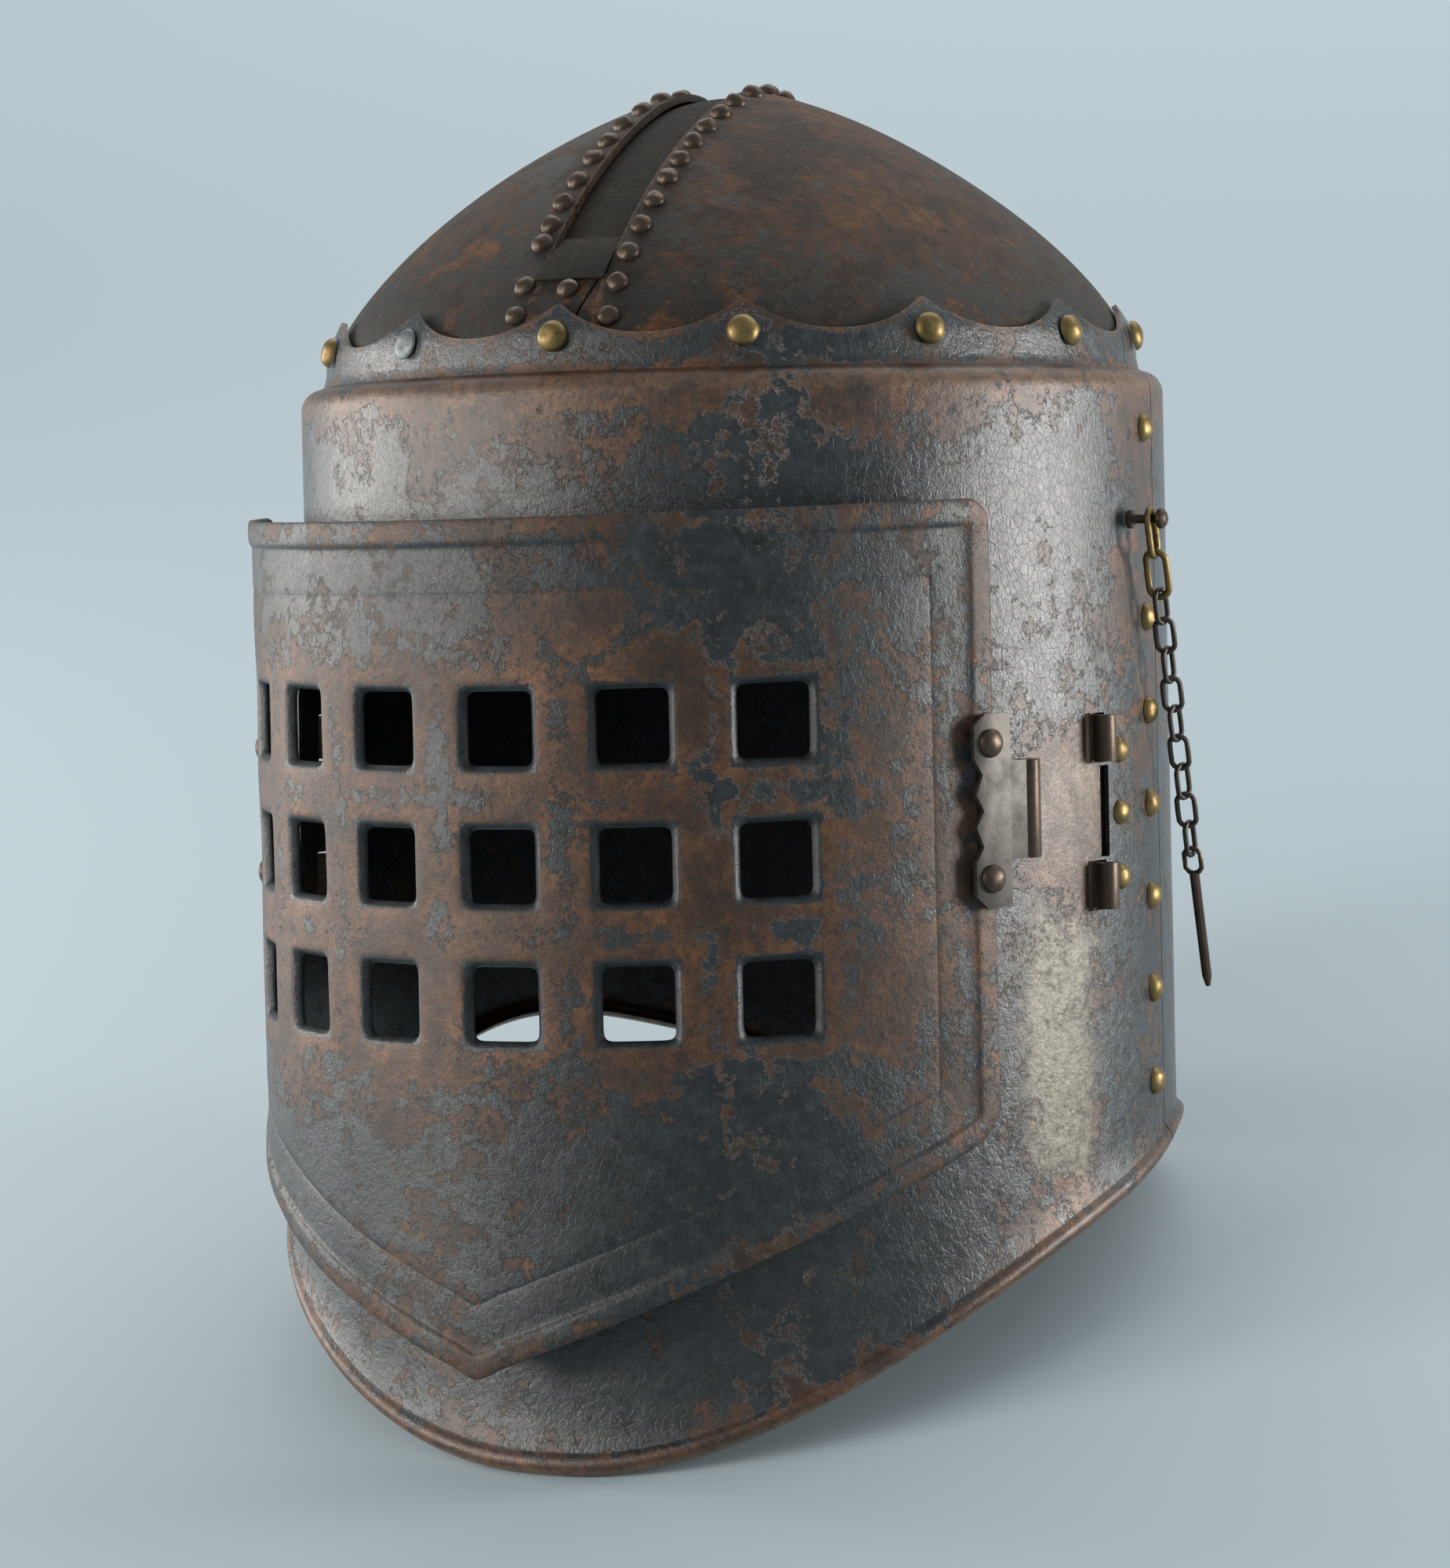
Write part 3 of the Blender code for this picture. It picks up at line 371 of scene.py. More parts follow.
def barrel_outline(deg):
    """The outside of the barrel from the flange's edge down to the inner end of the roll."""
    tip = scallop_z(deg)
    cusp = round(deg / (360 / SCALLOPS))
    outline = []
    for share in FLANGE_ROWS:
        z = tip * share
        lift = LIFTED.get(cusp, 0.0) * max((z - 2.5) / (SCALLOP_TIP - 2.5), 0.0) ** 1.5
        outline.append((path_at(FLANGE, z) + lift, z))
    foot = DOME_R + FLANGE_GAP + SHEET
    outline += [(foot + 0.2, -1.0), (foot + 0.5, CREASE_Z + 3.2), (foot + 0.9, CREASE_Z + 1.2)]
    outline.append((foot + 1.4, CREASE_Z + 0.1))
    start_r = foot + 2.2
    for a in spread(82, 0, 8):
        r = BARREL_R - (BARREL_R - start_r) * (1 - cos(radians(a)))
        outline.append((r, CREASE_Z - 0.5 - ROUNDING * (1 - sin(radians(a)))))
    outline.append((BARREL_R, CREASE_Z - SHOULDER))
    low = rim_z(deg) + RIM_ROLL
    top = CREASE_Z - SHOULDER
    for share in spread(0, 1, 22)[1:]:
        z = top + (low + RIM_ROLL * 1.15 - top) * share
        outline.append((wall_r(deg, z), z))
    centre = BARREL_R + skirt_out(deg) - RIM_ROLL * 0.35
    for a in spread(62, -150, 10):
        outline.append((centre + RIM_ROLL * cos(radians(a)), low + RIM_ROLL * sin(radians(a))))
    return outline


OUTLINE_ROWS = len(barrel_outline(0)) - 1


def barrel_plate(name, first, last, columns):
    """One plate of the barrel between two directions."""
    marks = spread(first, last, columns)
    outlines = [barrel_outline(deg) for deg in marks]

    def place(column, row):
        r, z = outlines[column][row]
        spot = polar(marks[column], r, z)
        return polar(marks[column], r + beaten(spot), z)

    plate = shaped_grid(name, columns, OUTLINE_ROWS, place)
    face_outwards(plate, Vector((0, 0, -120)))
    apply_modifier(plate, "SOLIDIFY", thickness=SHEET, offset=-1, use_even_offset=False)
    return plate


# %% [markdown]
# Hands, the floor and the lining have rubbed the shoulder and the rolled edge down to warm metal.
# Paint has held best between them. Where the visor's open hinge used to lie on the barrel, the
# sheet was kept clean and is still bright. Down the right side, a pale grey streak is a painted
# highlight, where the lamp on the right makes its bright band.


# %% Where the barrel is worn
def barrel_wear(spot):
    deg = degrees(atan2(spot.x, -spot.y))
    z = spot.z
    above_rim = z - rim_z(deg)
    tip = scallop_z(deg)
    bare = 0.62 * bump_at(z, -13.0, 9.0) + 0.75 * bump_at(above_rim, 1.0, 8.0)
    bare += 0.18 * inside(z, -34, -10, 10) + 0.5 * bump_at(z, tip, 2.2)
    bare -= 0.10 * inside(z, -50, -36, 8)
    bare += 0.55 * inside(deg, 60, 76, 12) * inside(z, -252, -205, 26)
    bare += 0.22 * inside(deg, 78, 100, 10) * inside(z, -120, -20, 30)
    under_hinge = inside(deg, 63.0, 76.2, 0.8) * inside(z, -142.5, -114.5, 1.2)
    around = inside(deg, 60.0, 77.5, 7.0) * inside(z, -160, -100, 22)
    rubbed = 0.85 * bump_at(above_rim, -0.5, 5.0) + 0.5 * bump_at(z, -13.0, 6.5)
    rubbed += 0.5 * bump_at(z, tip, 1.4)
    # Painted highlight: pale grey down the right side where the right lamp's band falls, most low
    # down.
    highlight_band = inside(deg, 58, 78, 12) * inside(z, -240, -28, 40)
    painted_highlight = highlight_band * (0.12 + 0.34 * inside(z, -240, -150, 30))
    steel = max(0.34 * under_hinge, 0.3 * around, painted_highlight)
    return bare + under_hinge + 0.25 * around, rubbed, steel


def dome_wear(spot):
    deg = degrees(atan2(spot.x, -spot.y))
    r = hypot(spot.x, spot.y)
    bare = 0.26 + 0.4 * inside(deg, 18, 95, 40) * inside(r, 20, 96, 30)
    bare += 0.2 * inside(deg, -75, -20, 30) * inside(r, 55, 100, 24)
    bare -= 0.2 * inside(spot.z, -10, 17, 12)
    edge = bump_at(abs(spot.x), CHANNEL_W / 2, 1.6)
    scrape = inside(deg, 48, 66, 10) * inside(r, 34, 52, 8)
    return bare + 0.4 * edge, 0.55 * edge, 0.3 * scrape


# %% [markdown]
# The front plate laps over the back one at each side. Behind the visor it has a plain opening for
# the face, and at each side narrow slots let the arms of the hinge leaf through. Both are cut with
# a bevelled cube by a Boolean, as they would be filed out of the plate.


# %% The front plate
def bevelled_block(name, size, at, turn_deg=0.0, corner=1.0):
    """A cube at its size and place, turned about the upright axis, with its long edges rounded."""
    clear_selection()
    bpy.ops.mesh.primitive_cube_add(size=1, location=at, rotation=(0, 0, radians(turn_deg)))
    block = bpy.context.object
    block.name = name
    block.scale = size
    bpy.ops.object.transform_apply(location=True, rotation=True, scale=True)
    apply_modifier(block, "BEVEL", width=corner, segments=4, limit_method="NONE")
    return block


front = barrel_plate("front_plate", -LAP_DEG, LAP_DEG, 210)
FACE_HALF, FACE_TOP, FACE_LOW = 52.0, -72.0, -204.0
face_w = 2 * BARREL_R * sin(radians(FACE_HALF))
face = bevelled_block(
    "face_cutter",
    (face_w, 90.0, FACE_TOP - FACE_LOW),
    (0, -BARREL_R * cos(radians(FACE_HALF)) - 43.0, (FACE_TOP + FACE_LOW) / 2),
    corner=12.0,
)
cut_with(front, face)
slot_away = KNUCKLE_MID / 2 + GAP + KNUCKLE_END / 2 + 0.4
left_deg = degrees(atan2(-pivot.x, -pivot.y))
for sign, deg, mid in ((1, KNUCKLE_DEG, HINGE_MID + LEAF_UP), (-1, left_deg, HINGE_MID)):
    for up in (slot_away, -slot_away):
        at = polar(sign * (deg + 0.25), BARREL_R, mid + up)
        cut_with(front, bevelled_block("slot", (9.2, 12, KNUCKLE_END + 1), at, sign * deg, 0.4))
    at = polar(sign * (deg + 2.2), BARREL_R, mid)
    cut_with(front, bevelled_block("slot", (4.3, 12, KNUCKLE_MID - 1.2), at, sign * deg, 0.4))
finish_piece(front, "helmet", ["barrel_front"], wear=barrel_wear)
print("front plate:", len(front.data.polygons), "faces")

# %% [markdown]
# The back plate is seen only from the sides and behind. Its edges run on under the front plate,
# as a tongue on each side, and the seam rivets go through both.

# %% The back plate
back = barrel_plate("back_plate", LAP_DEG + 0.25, 360 - LAP_DEG - 0.25, 170)
for side, sign in (("left", -1), ("right", 1)):
    marks = [sign * deg for deg in spread(LAP_DEG - 8.3, LAP_DEG + 2.5, 12)]

    def place(column, row):
        top, low = CREASE_Z - SHOULDER - 2, rim_z(marks[column]) + 4 * RIM_ROLL
        z = top + (low - top) * row / 20
        return polar(marks[column], wall_r(marks[column], z) - SHEET - GAP, z)

    tongue = shaped_grid("lap_tongue_" + side, 12, 20, place)
    face_outwards(tongue, Vector((0, 0, -120)))
    apply_modifier(tongue, "SOLIDIFY", thickness=SHEET * 0.6, offset=-1)
    finish_piece(tongue, "helmet")
finish_piece(back, "helmet", ["barrel_back"], wear=barrel_wear)
print("back plate:", len(back.data.polygons), "faces")

# %% [markdown]
# The dome is two half bowls. Each starts as a grid wrapped round the dome's curve, and is then
# bisected along the band, which leaves the straight edge that the iron rivets follow. The left
# half has a tab that closes the channel's lower end, under the brow's middle cusp.


# %% The halves of the dome
def dome_half(name, sign):
    path = dome_path(0.0, 34)
    sides = 150
    half_turn = spread(-2.0, 182.0, sides)

    def place(column, row):
        r, z = path[row]
        spot = polar(sign * half_turn[column], r, z)
        return spot * (1 + beaten(spot, 45.0, 0.35) / 100)

    half = shaped_grid(name, sides, len(path) - 1, place)
    merge_points(half)
    face_outwards(half, Vector((0, 0, -20)))
    edit_all(half)
    bpy.ops.mesh.bisect(
        plane_co=(sign * CHANNEL_W / 2, 0, 0),
        plane_no=(sign, 0, 0),
        clear_inner=True,
        clear_outer=False,
    )
    bpy.ops.object.mode_set(mode="OBJECT")
    lip = half.vertex_groups.new(name="lip")
    edge = [v.index for v in half.data.vertices if abs(v.co.x) < CHANNEL_W / 2 + 0.01]
    lip.add(edge, 1.0, "REPLACE")
    apply_modifier(half, "SOLIDIFY", thickness=DOME_SHEET, offset=-1)
    apply_modifier(
        half, "BEVEL", width=0.8, segments=3, limit_method="ANGLE", angle_limit=radians(60)
    )
    return half


for side, sign in (("left", -1), ("right", 1)):
    half = dome_half("dome_half_" + side, sign)
    finish_piece(half, "helmet", ["dome_" + side], wear=dome_wear)
    print("dome half", side, len(half.data.polygons), "faces")

tab_path = dome_path(0.05, 40)
TAB_TOP, TAB_LOW = 17.0, CREASE_Z + 2.0


def slit_x(z):
    """The slit between the left half's tab and the right half runs down to the left."""
    return 3.3 + 5.0 * min(max((z - 3.0) / (TAB_TOP - 3.0), 0.0), 1.0)


def corner_piece(name, left, right):
    """A strip of the dome below the channel, between two lines that follow its height."""

    def place(column, row):
        z = TAB_LOW + (TAB_TOP - TAB_LOW) * row / 14
        x = left(z) + (right(z) - left(z)) * column / 10
        r = path_at(tab_path, z)
        return Vector((x, -sqrt(r * r - x * x), z))

    piece = shaped_grid(name, 10, 14, place)
    face_outwards(piece, Vector((0, 0, 0)))
    apply_modifier(piece, "SOLIDIFY", thickness=SHEET, offset=-1)
    apply_modifier(
        piece, "BEVEL", width=0.3, segments=2, limit_method="ANGLE", angle_limit=radians(60)
    )
    finish_piece(piece, "helmet", wear=dome_wear)


corner_piece("front_tab", lambda z: -CHANNEL_W / 2 - 0.1, lambda z: slit_x(z) - 0.35)
corner_piece("front_corner", lambda z: slit_x(z) + 0.35, lambda z: CHANNEL_W / 2 + 0.3)

# %% [markdown]
# The band runs over the crown from front to back, under both halves. It is one strip of sheet, and
# its front end is turned up over the tab, where its thin cut edge shines.


# %% The crown band
def strap_point(x, sign, r, z):
    reach = hypot(r, x)
    if reach < DOME_R * 0.93:
        return Vector((x, sign * r, z - dome_z(r) + dome_z(reach)))
    return Vector((x, sign * sqrt(max(r * r - x * x, 0.0)), z))


strap_line = dome_path(-DOME_SHEET - STRAP_GAP, 40)[:-1]
front_line = [p for p in strap_line if p[0] < DOME_R - 13.5]
LINE = [(-1, p) for p in reversed(front_line)] + [(1, p) for p in strap_line[1:]]


def strap_place(column, row):
    x = STRAP_W * (column / 12 - 0.5)
    sign, (r, z) = LINE[row]
    return strap_point(x, sign, r, z)


strap = shaped_grid("crown_band", 12, len(LINE) - 1, strap_place)
face_outwards(strap, Vector((0, 0, -20)))
apply_modifier(strap, "SOLIDIFY", thickness=SHEET, offset=-1)
finish_piece(strap, "helmet", ["crown_strap"])

lip_path = dome_path(0.35, 60)
LIP_HIGH, LIP_LOW = 28.0, 15.6


def lip_place(column, row):
    share = row / 12
    z = LIP_HIGH + (LIP_LOW - LIP_HIGH) * share
    x = -9.0 + 18.4 * column / 10
    rise = 3.0 * (1 - share) ** 2
    r = path_at(lip_path, z) - rise * 0.9
    if column == 0:
        x = x - 1.2 * share**3
    return Vector((x, -sqrt(r * r - x * x), z - rise * 0.4))


lip = shaped_grid("band_end", 10, 12, lip_place)
face_outwards(lip, Vector((0, 0, 0)))
apply_modifier(lip, "SOLIDIFY", thickness=0.8, offset=1)
finish_piece(lip, "helmet")

# %% [markdown]
# The visor was cut flat with its eighteen holes, its rim raised into a bead and its panel line
# scored, before it was curved. It is built in that order: a grid with a line wherever something
# happens, the squares inset and pressed in, and then everything wrapped on the visor's curve. The
# Subdivision Surface rounds the corners of the holes, as pressing thin sheet does.


# %% The visor's outline
def visor_dip(deg):
    """The visor hangs a little lower in its middle."""
    return -4.0 * (cos(radians(deg - VISOR_MID)) - 0.75)


def corner_drop(mm_from_end):
    """How far the rounded corner leaves the edge, at this distance from the visor's end."""
    into = VISOR_CORNER - mm_from_end
    if into <= 0:
        return 0.0
    return VISOR_CORNER - sqrt(max(VISOR_CORNER**2 - into**2, 0.0))


def visor_low(deg):
    away = abs(deg - VISOR_TIP_DEG) / VISOR_HALF
    from_end = (VISOR_HALF - abs(deg - VISOR_MID)) / DEG_PER_MM
    v_line = VISOR_TIP + (VISOR_END_LOW - VISOR_TIP) * sqrt(away * away + 0.0004) - 0.4
    return v_line + corner_drop(from_end) * 1.4


HALF_MM = VISOR_HALF / DEG_PER_MM
PANEL_IN = 20.0
EDGE_LINES = (0.0, 0.6, 2.0, 4.8, BEAD_W, BEAD_W + 0.9, BEAD_W + 2.4)
PANEL_LINES = (PANEL_IN - 0.5, PANEL_IN, PANEL_IN + 0.5)

across = set()
for line in EDGE_LINES + PANEL_LINES:
    across.add(round(HALF_MM - line, 3))
    across.add(round(line - HALF_MM, 3))
HOLE_MM = [(HOLE_MID - VISOR_MID + (i - 2.5) * HOLE_STEP_DEG) / DEG_PER_MM for i in range(6)]
for middle in HOLE_MM:
    for part in (-0.5, -0.25, 0.0, 0.25, 0.5):
        across.add(round(middle + part * HOLE_OUT, 3))
    across.add(round(middle + 0.5 * HOLE_STEP_DEG / DEG_PER_MM, 3))
columns = sorted(across)
columns = [c for c in columns if abs(c) <= HALF_MM]

# Each row is (height, 0), or (None, share of the way from the holes down to the low panel line),
# or (distance from the low edge, 1).
rows = [(VISOR_TOP - line, 0.0) for line in EDGE_LINES]
rows += [(VISOR_TOP - line, 0.0) for line in PANEL_LINES]
rows += [(VISOR_TOP - 29.0, 0.0)]
for middle in HOLE_ROWS:
    rows += [(middle - part * HOLE_OUT, 0.0) for part in (-0.5, -0.25, 0.0, 0.25, 0.5)]
    rows += [(middle - HOLE_OUT / 2 - 6.0, 0.0)]
LAST_HOLE_LINE = HOLE_ROWS[-1] - HOLE_OUT / 2
rows = rows[:-1]
low_lines = list(reversed(PANEL_LINES)) + list(reversed(EDGE_LINES))
spare = [(None, 0.22), (None, 0.44), (None, 0.66), (None, 0.86)]
rows += spare + [(line, 1.0) for line in low_lines]


def visor_height(mm, row):
    """Height of a grid line of the flat visor, and how far the spot is from the nearest edge."""
    value, share = rows[row]
    deg = VISOR_MID + mm * DEG_PER_MM
    low = visor_low(deg)
    from_end = HALF_MM - abs(mm)
    if value is not None and share == 0.0:
        fade = max(1 - (VISOR_TOP - value) / 30.0, 0.0)
        return value - corner_drop(from_end) * fade, VISOR_TOP - value
    if value is None:
        return LAST_HOLE_LINE + (low + PANEL_LINES[2] - LAST_HOLE_LINE) * share, 99.0
    squeeze = 1.0
    room = LAST_HOLE_LINE - low
    if room < PANEL_LINES[2] + 6:
        squeeze = (room - 6) / PANEL_LINES[2]
    return low + value * squeeze, value


def bead_rise(from_edge):
    """Height of the raised rim: a rounded outer edge, a flat top and a soft step."""
    if from_edge >= BEAD_W + 0.9:
        return 0.0
    if from_edge >= BEAD_W:
        return BEAD_H * 0.45
    return BEAD_H * (0.55 - 0.35 * max(1 - from_edge / 2.0, 0.0) ** 2)


def flat_visor(column, row):
    """The flat visor: across, height, and relief along Z."""
    mm = columns[column]
    z, from_row_edge = visor_height(mm, row)
    from_end = HALF_MM - abs(mm)
    near = min(from_end, from_row_edge)
    relief = bead_rise(near)
    if abs(near - PANEL_IN) < 0.05:
        relief = -0.45
    return Vector((mm, z, relief))


# %% Its holes
visor = shaped_grid("visor_plate", len(columns) - 1, len(rows) - 1, flat_visor)
lean = sum(f.normal.z for f in visor.data.polygons)
make_active(visor)
bpy.ops.object.mode_set(mode="EDIT")
if lean < 0:
    bpy.ops.mesh.select_all(action="SELECT")
    bpy.ops.mesh.flip_normals()
bpy.ops.mesh.select_mode(type="FACE")
bpy.ops.mesh.select_all(action="DESELECT")
bm = bmesh.from_edit_mesh(visor.data)
for f in bm.faces:
    spot = f.calc_center_median()
    for middle, height in [(mm, z) for mm in HOLE_MM for z in HOLE_ROWS]:
        if abs(spot.x - middle) < HOLE_OUT / 2 and abs(spot.y - height) < HOLE_OUT / 2:
            f.select_set(True)
bmesh.update_edit_mesh(visor.data)
LIP_W = (HOLE_OUT - HOLE) / 2
bpy.ops.mesh.inset(thickness=LIP_W * 0.45, depth=-0.5)
bpy.ops.mesh.inset(thickness=LIP_W * 0.4, depth=-1.3)
bpy.ops.mesh.inset(thickness=LIP_W * 0.15, depth=-1.3)
bpy.ops.mesh.delete(type="FACE")
bpy.ops.object.mode_set(mode="OBJECT")
print("visor: 18 holes in a grid of", len(columns), "by", len(rows), "lines")

# %% [markdown]
# Now the flat visor gets its thickness, is subdivided while it is still flat, and is wrapped on
# its curve: distance across becomes an angle, and relief becomes radius.

# %% Curving the visor
apply_modifier(visor, "SOLIDIFY", thickness=SHEET, offset=-1)
apply_modifier(visor, "SUBSURF", levels=2, render_levels=2)


def visor_wear(spot):
    mm, z = spot.x, spot.y
    deg = VISOR_MID + mm * DEG_PER_MM
    edge = min(HALF_MM - abs(mm), VISOR_TOP - z, z - visor_low(deg))
    around_holes = inside(mm, -110, 82, 30) * inside(z, -200, -76, 24)
    lip = 99.0
    for middle in HOLE_MM:
        for height in HOLE_ROWS:
            lip = min(lip, max(abs(mm - middle), abs(z - height)) - HOLE_OUT / 2)
    # The right end lies in the bright band: its pale grey steel value is a painted highlight.
    right = inside(deg, 40, 75, 16)
    bare = 0.02 + 0.42 * around_holes + 0.35 * bump_at(lip, 1.0, 4.0)
    # Inside the pressed lips of the holes the sheet is kept dark slate.
    bare -= 0.9 * inside(lip, -6.0, -0.5, 0.8)
    bare += (0.3 - 0.2 * right) * bump_at(edge, 2.5, 5.5) + 0.25 * right
    bare -= 0.12 * inside(edge, 9, 19, 4)
    rubbed = (0.35 - 0.25 * right) * bump_at(edge, 1.5, 3.6) + 0.3 * bump_at(lip, 0.2, 1.2)
    return bare, rubbed, 0.22 * right


store_wear(visor, visor_wear, is_flat=True)
# The subdivision has rounded the visor's point a little, so it is drawn down again.
tip_mm = (VISOR_TIP_DEG - VISOR_MID) / DEG_PER_MM
for vertex in visor.data.vertices:
    share = min(max((LAST_HOLE_LINE - 8 - vertex.co.y) / 30.0, 0.0), 1.0)
    vertex.co.y -= 1.7 * share * max(1 - abs(vertex.co.x - tip_mm) / 7.0, 0.0)
for vertex in visor.data.vertices:
    mm, z, relief = vertex.co
    deg = VISOR_MID + mm * DEG_PER_MM
    spot = visor_point(deg, VISOR_R + relief, z + visor_dip(deg))
    uneven = beaten(spot, 30.0, 0.5) + beaten(spot, 12.0, 0.12)
    vertex.co = visor_point(deg, VISOR_R + relief + uneven, z + visor_dip(deg))
finish_piece(visor, "visor_body", ["visor"], smooth=60)
print("visor plate:", len(visor.data.polygons), "faces")

# %% [markdown]
# A rivet head is a round cap beaten over the end of a nail. One is modelled from a sphere cut in
# half and flattened a little, and is copied to each place. Big brass ones close the brow and the
# side seams, smaller iron ones run along the band, and more iron ones hold the hinge plates.


# %% Rivet heads
def rivet_head(name, at, normal, radius, height, dent=0.0, segments=20, rings=12):
    """A round head standing on a plane, its foot a little wider than a half ball."""
    clear_selection()
    bpy.ops.mesh.primitive_uv_sphere_add(segments=segments, ring_count=rings, radius=1)
    head = bpy.context.object
    head.name = name
    bpy.ops.object.mode_set(mode="EDIT")
    bpy.ops.mesh.select_all(action="SELECT")
    bpy.ops.mesh.bisect(plane_co=(0, 0, 0.02), plane_no=(0, 0, 1), clear_inner=True, use_fill=True)
    bpy.ops.object.mode_set(mode="OBJECT")
    turn_to = normal.normalized().to_track_quat("Z", "Y").to_matrix().to_4x4()
    for vertex in head.data.vertices:
        x, y, z = vertex.co
        push = dent * noise.noise(Vector((x, y, z)) * 1.3 + at)
        wide = radius * (1 + push * 0.5)
        vertex.co = Vector((x * wide, y * wide, (z - 0.02) * height * (1 + push)))
    head.data.transform(Matrix.Translation(at) @ turn_to)
    return head


crown_rivets = []
for k in range(SCALLOPS):
    deg = 360 / SCALLOPS * k
    r = DOME_R + FLANGE_GAP + SHEET + GAP + 0.1
    lean_up = (polar(deg, 1, 0) * 0.95 + Vector((0, 0, 0.22))).normalized()
    tall = 1.3 if k == SCALLOPS - 1 else 3.0
    head = rivet_head("brow_rivet_%02d" % (k + 1), polar(deg, r, 0.4), lean_up, 4.3, tall, 0.12)
    finish_piece(head, "helmet", ["crown_rivet_%02d" % (k + 1)])
    crown_rivets.append(head)

seam_rivets = []
for side, sign in (("left", -1), ("right", 1)):
    marks = [-26.0] + [-78.0 - 128.0 * i / 5 for i in range(6)]
    for i, z in enumerate(marks):
        deg = sign * SEAM_RIVET_DEG
        spot = polar(deg, wall_r(deg, z) + 0.1, z)
        label = "%s_%d" % (side, i + 1)
        head = rivet_head("seam_head_" + label, spot, polar(deg, 1, 0), 3.9, 2.7, 0.12)
        finish_piece(head, "helmet", ["seam_rivet_" + label])
        seam_rivets.append(head)
for side, sign, deg in (("left", -1, left_deg), ("right", 1, KNUCKLE_DEG)):
    for label, up in (("upper", 17.0), ("middle", 0.0), ("lower", -17.5)):
        toward, z = sign * (deg + 6.0), HINGE_MID - 0.8 + up + (LEAF_UP if sign > 0 else 0)
        spot = polar(toward, wall_r(toward, z) + 0.1, z)
        label = side + "_" + label
        head = rivet_head("leaf_head_" + label, spot, polar(toward, 1, 0), 3.5, 2.3, 0.12)
        finish_piece(head, "helmet", ["hinge_rivet_" + label])
        seam_rivets.append(head)

plate_rivets = []
for side, sign in (("left", -1), ("right", 1)):
    for label, up in (("upper", 17.8), ("lower", -17.8)):
        deg = VISOR_MID + sign * (VISOR_HALF - PLATE_RIVET_IN * DEG_PER_MM)
        z = HINGE_MID + up + (PLATE_UP if sign > 0 else 0)
        spot = visor_point(deg, VISOR_R + BEAD_H + GAP + SHEET + 0.3, z)
        out = visor_point(deg, 1, 0) - visor_point(0, 0, 0)
        head = rivet_head("plate_head_%s_%s" % (side, label), spot, out, 3.8, 2.2, 0.1)
        finish_piece(head, "visor_body", ["plate_rivet_%s_%s" % (side, label)])
        plate_rivets.append(head)
print("brass and steel heads:", len(crown_rivets) + len(seam_rivets) + len(plate_rivets))


# %% The iron rivets beside the band
# Their places along the front are uneven, and are given as distances from the crown in mm.
FRONT_LEFT = (6, 17, 29, 40, 51, 63, 74, 84, 92, 108, 118, 126)
FRONT_RIGHT = (4, 14, 24, 34, 44, 54, 64, 75, 86, 97, 108, 119)


def crown_spots(marks):
    """The dome's radii at these distances along its curve from the crown."""
    spots, length, left = [], 0.0, list(marks)
    last = (CROWN_RIVET_X, dome_z(CROWN_RIVET_X))
    for i in range(1, 800):
        r = CROWN_RIVET_X + (DOME_R - CROWN_RIVET_X) * i / 800
        length += hypot(r - last[0], dome_z(r) - last[1])
        last = (r, dome_z(r))
        if left and length >= left[0]:
            spots.append(r)
            left.pop(0)
    return spots


def over_dome(y_sign, x, r):
    """A point over the dome near the band, and its normal."""
    slope = Vector((dome_z(r) - dome_z(r + 0.5), 0.5)).normalized()
    spot = Vector((x, sqrt(max(r * r - x * x, 0.0)) * y_sign, dome_z(r)))
    flat = Vector((spot.x, spot.y, 0.0)).normalized()
    return spot, (flat * slope.x + Vector((0, 0, slope.y))).normalized()


iron_rivets = []
for side, sign in (("left", -1), ("right", 1)):
    places = []
    for y_sign, marks in ((-1, FRONT_LEFT if sign < 0 else FRONT_RIGHT), (1, FRONT_RIGHT[::2])):
        places += [over_dome(y_sign, sign * CROWN_RIVET_X, r) for r in crown_spots(marks)]
    top = Vector((sign * CROWN_RIVET_X, 0, dome_z(CROWN_RIVET_X)))
    places.append((top, Vector((sign * 0.13, 0, 1))))
    if sign < 0:
        places.append(over_dome(-1, 0.0, DOME_R - 7.5))
    for i, (spot, out) in enumerate(places):
        head = rivet_head("band_rivet_%s_%02d" % (side, i + 1), spot, out, 3.2, 2.6, 0.2, 16, 10)
        finish_piece(head, "helmet")
        iron_rivets.append(head)
print("iron heads beside the band:", len(iron_rivets))

# %% [markdown]
# The hinge parts keep the CAD shapes, which are already right: a copy of each is merged, its edges
# are bevelled, and it replaces its node. The same is done with the pins and the bolt.


# %% Hinge plates, leaves, pins and bolt
def softened_copy(node, name, body, width):
    """A merged copy of a CAD node with softly rounded edges."""
    source = frame["nodes"][node]
    clear_selection()
    copy = source.copy()
    copy.data = source.data.copy()
    copy.name = name
    copy.parent = None
    copy.matrix_world = Matrix.Identity(4)
    bpy.context.scene.collection.objects.link(copy)
    merge_points(copy, 1e-6)
    edit_all(copy)
    bpy.ops.mesh.dissolve_limited(angle_limit=radians(2))
    bpy.ops.object.mode_set(mode="OBJECT")
    apply_modifier(
        copy,
        "BEVEL",
        width=width,
        segments=3,
        limit_method="ANGLE",
        angle_limit=radians(32),
        use_clamp_overlap=True,
    )
    make_active(copy)
    bpy.ops.object.shade_smooth_by_angle(angle=radians(40))
    copy.data.materials.clear()
    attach(copy, body)
    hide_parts(node)
    return copy


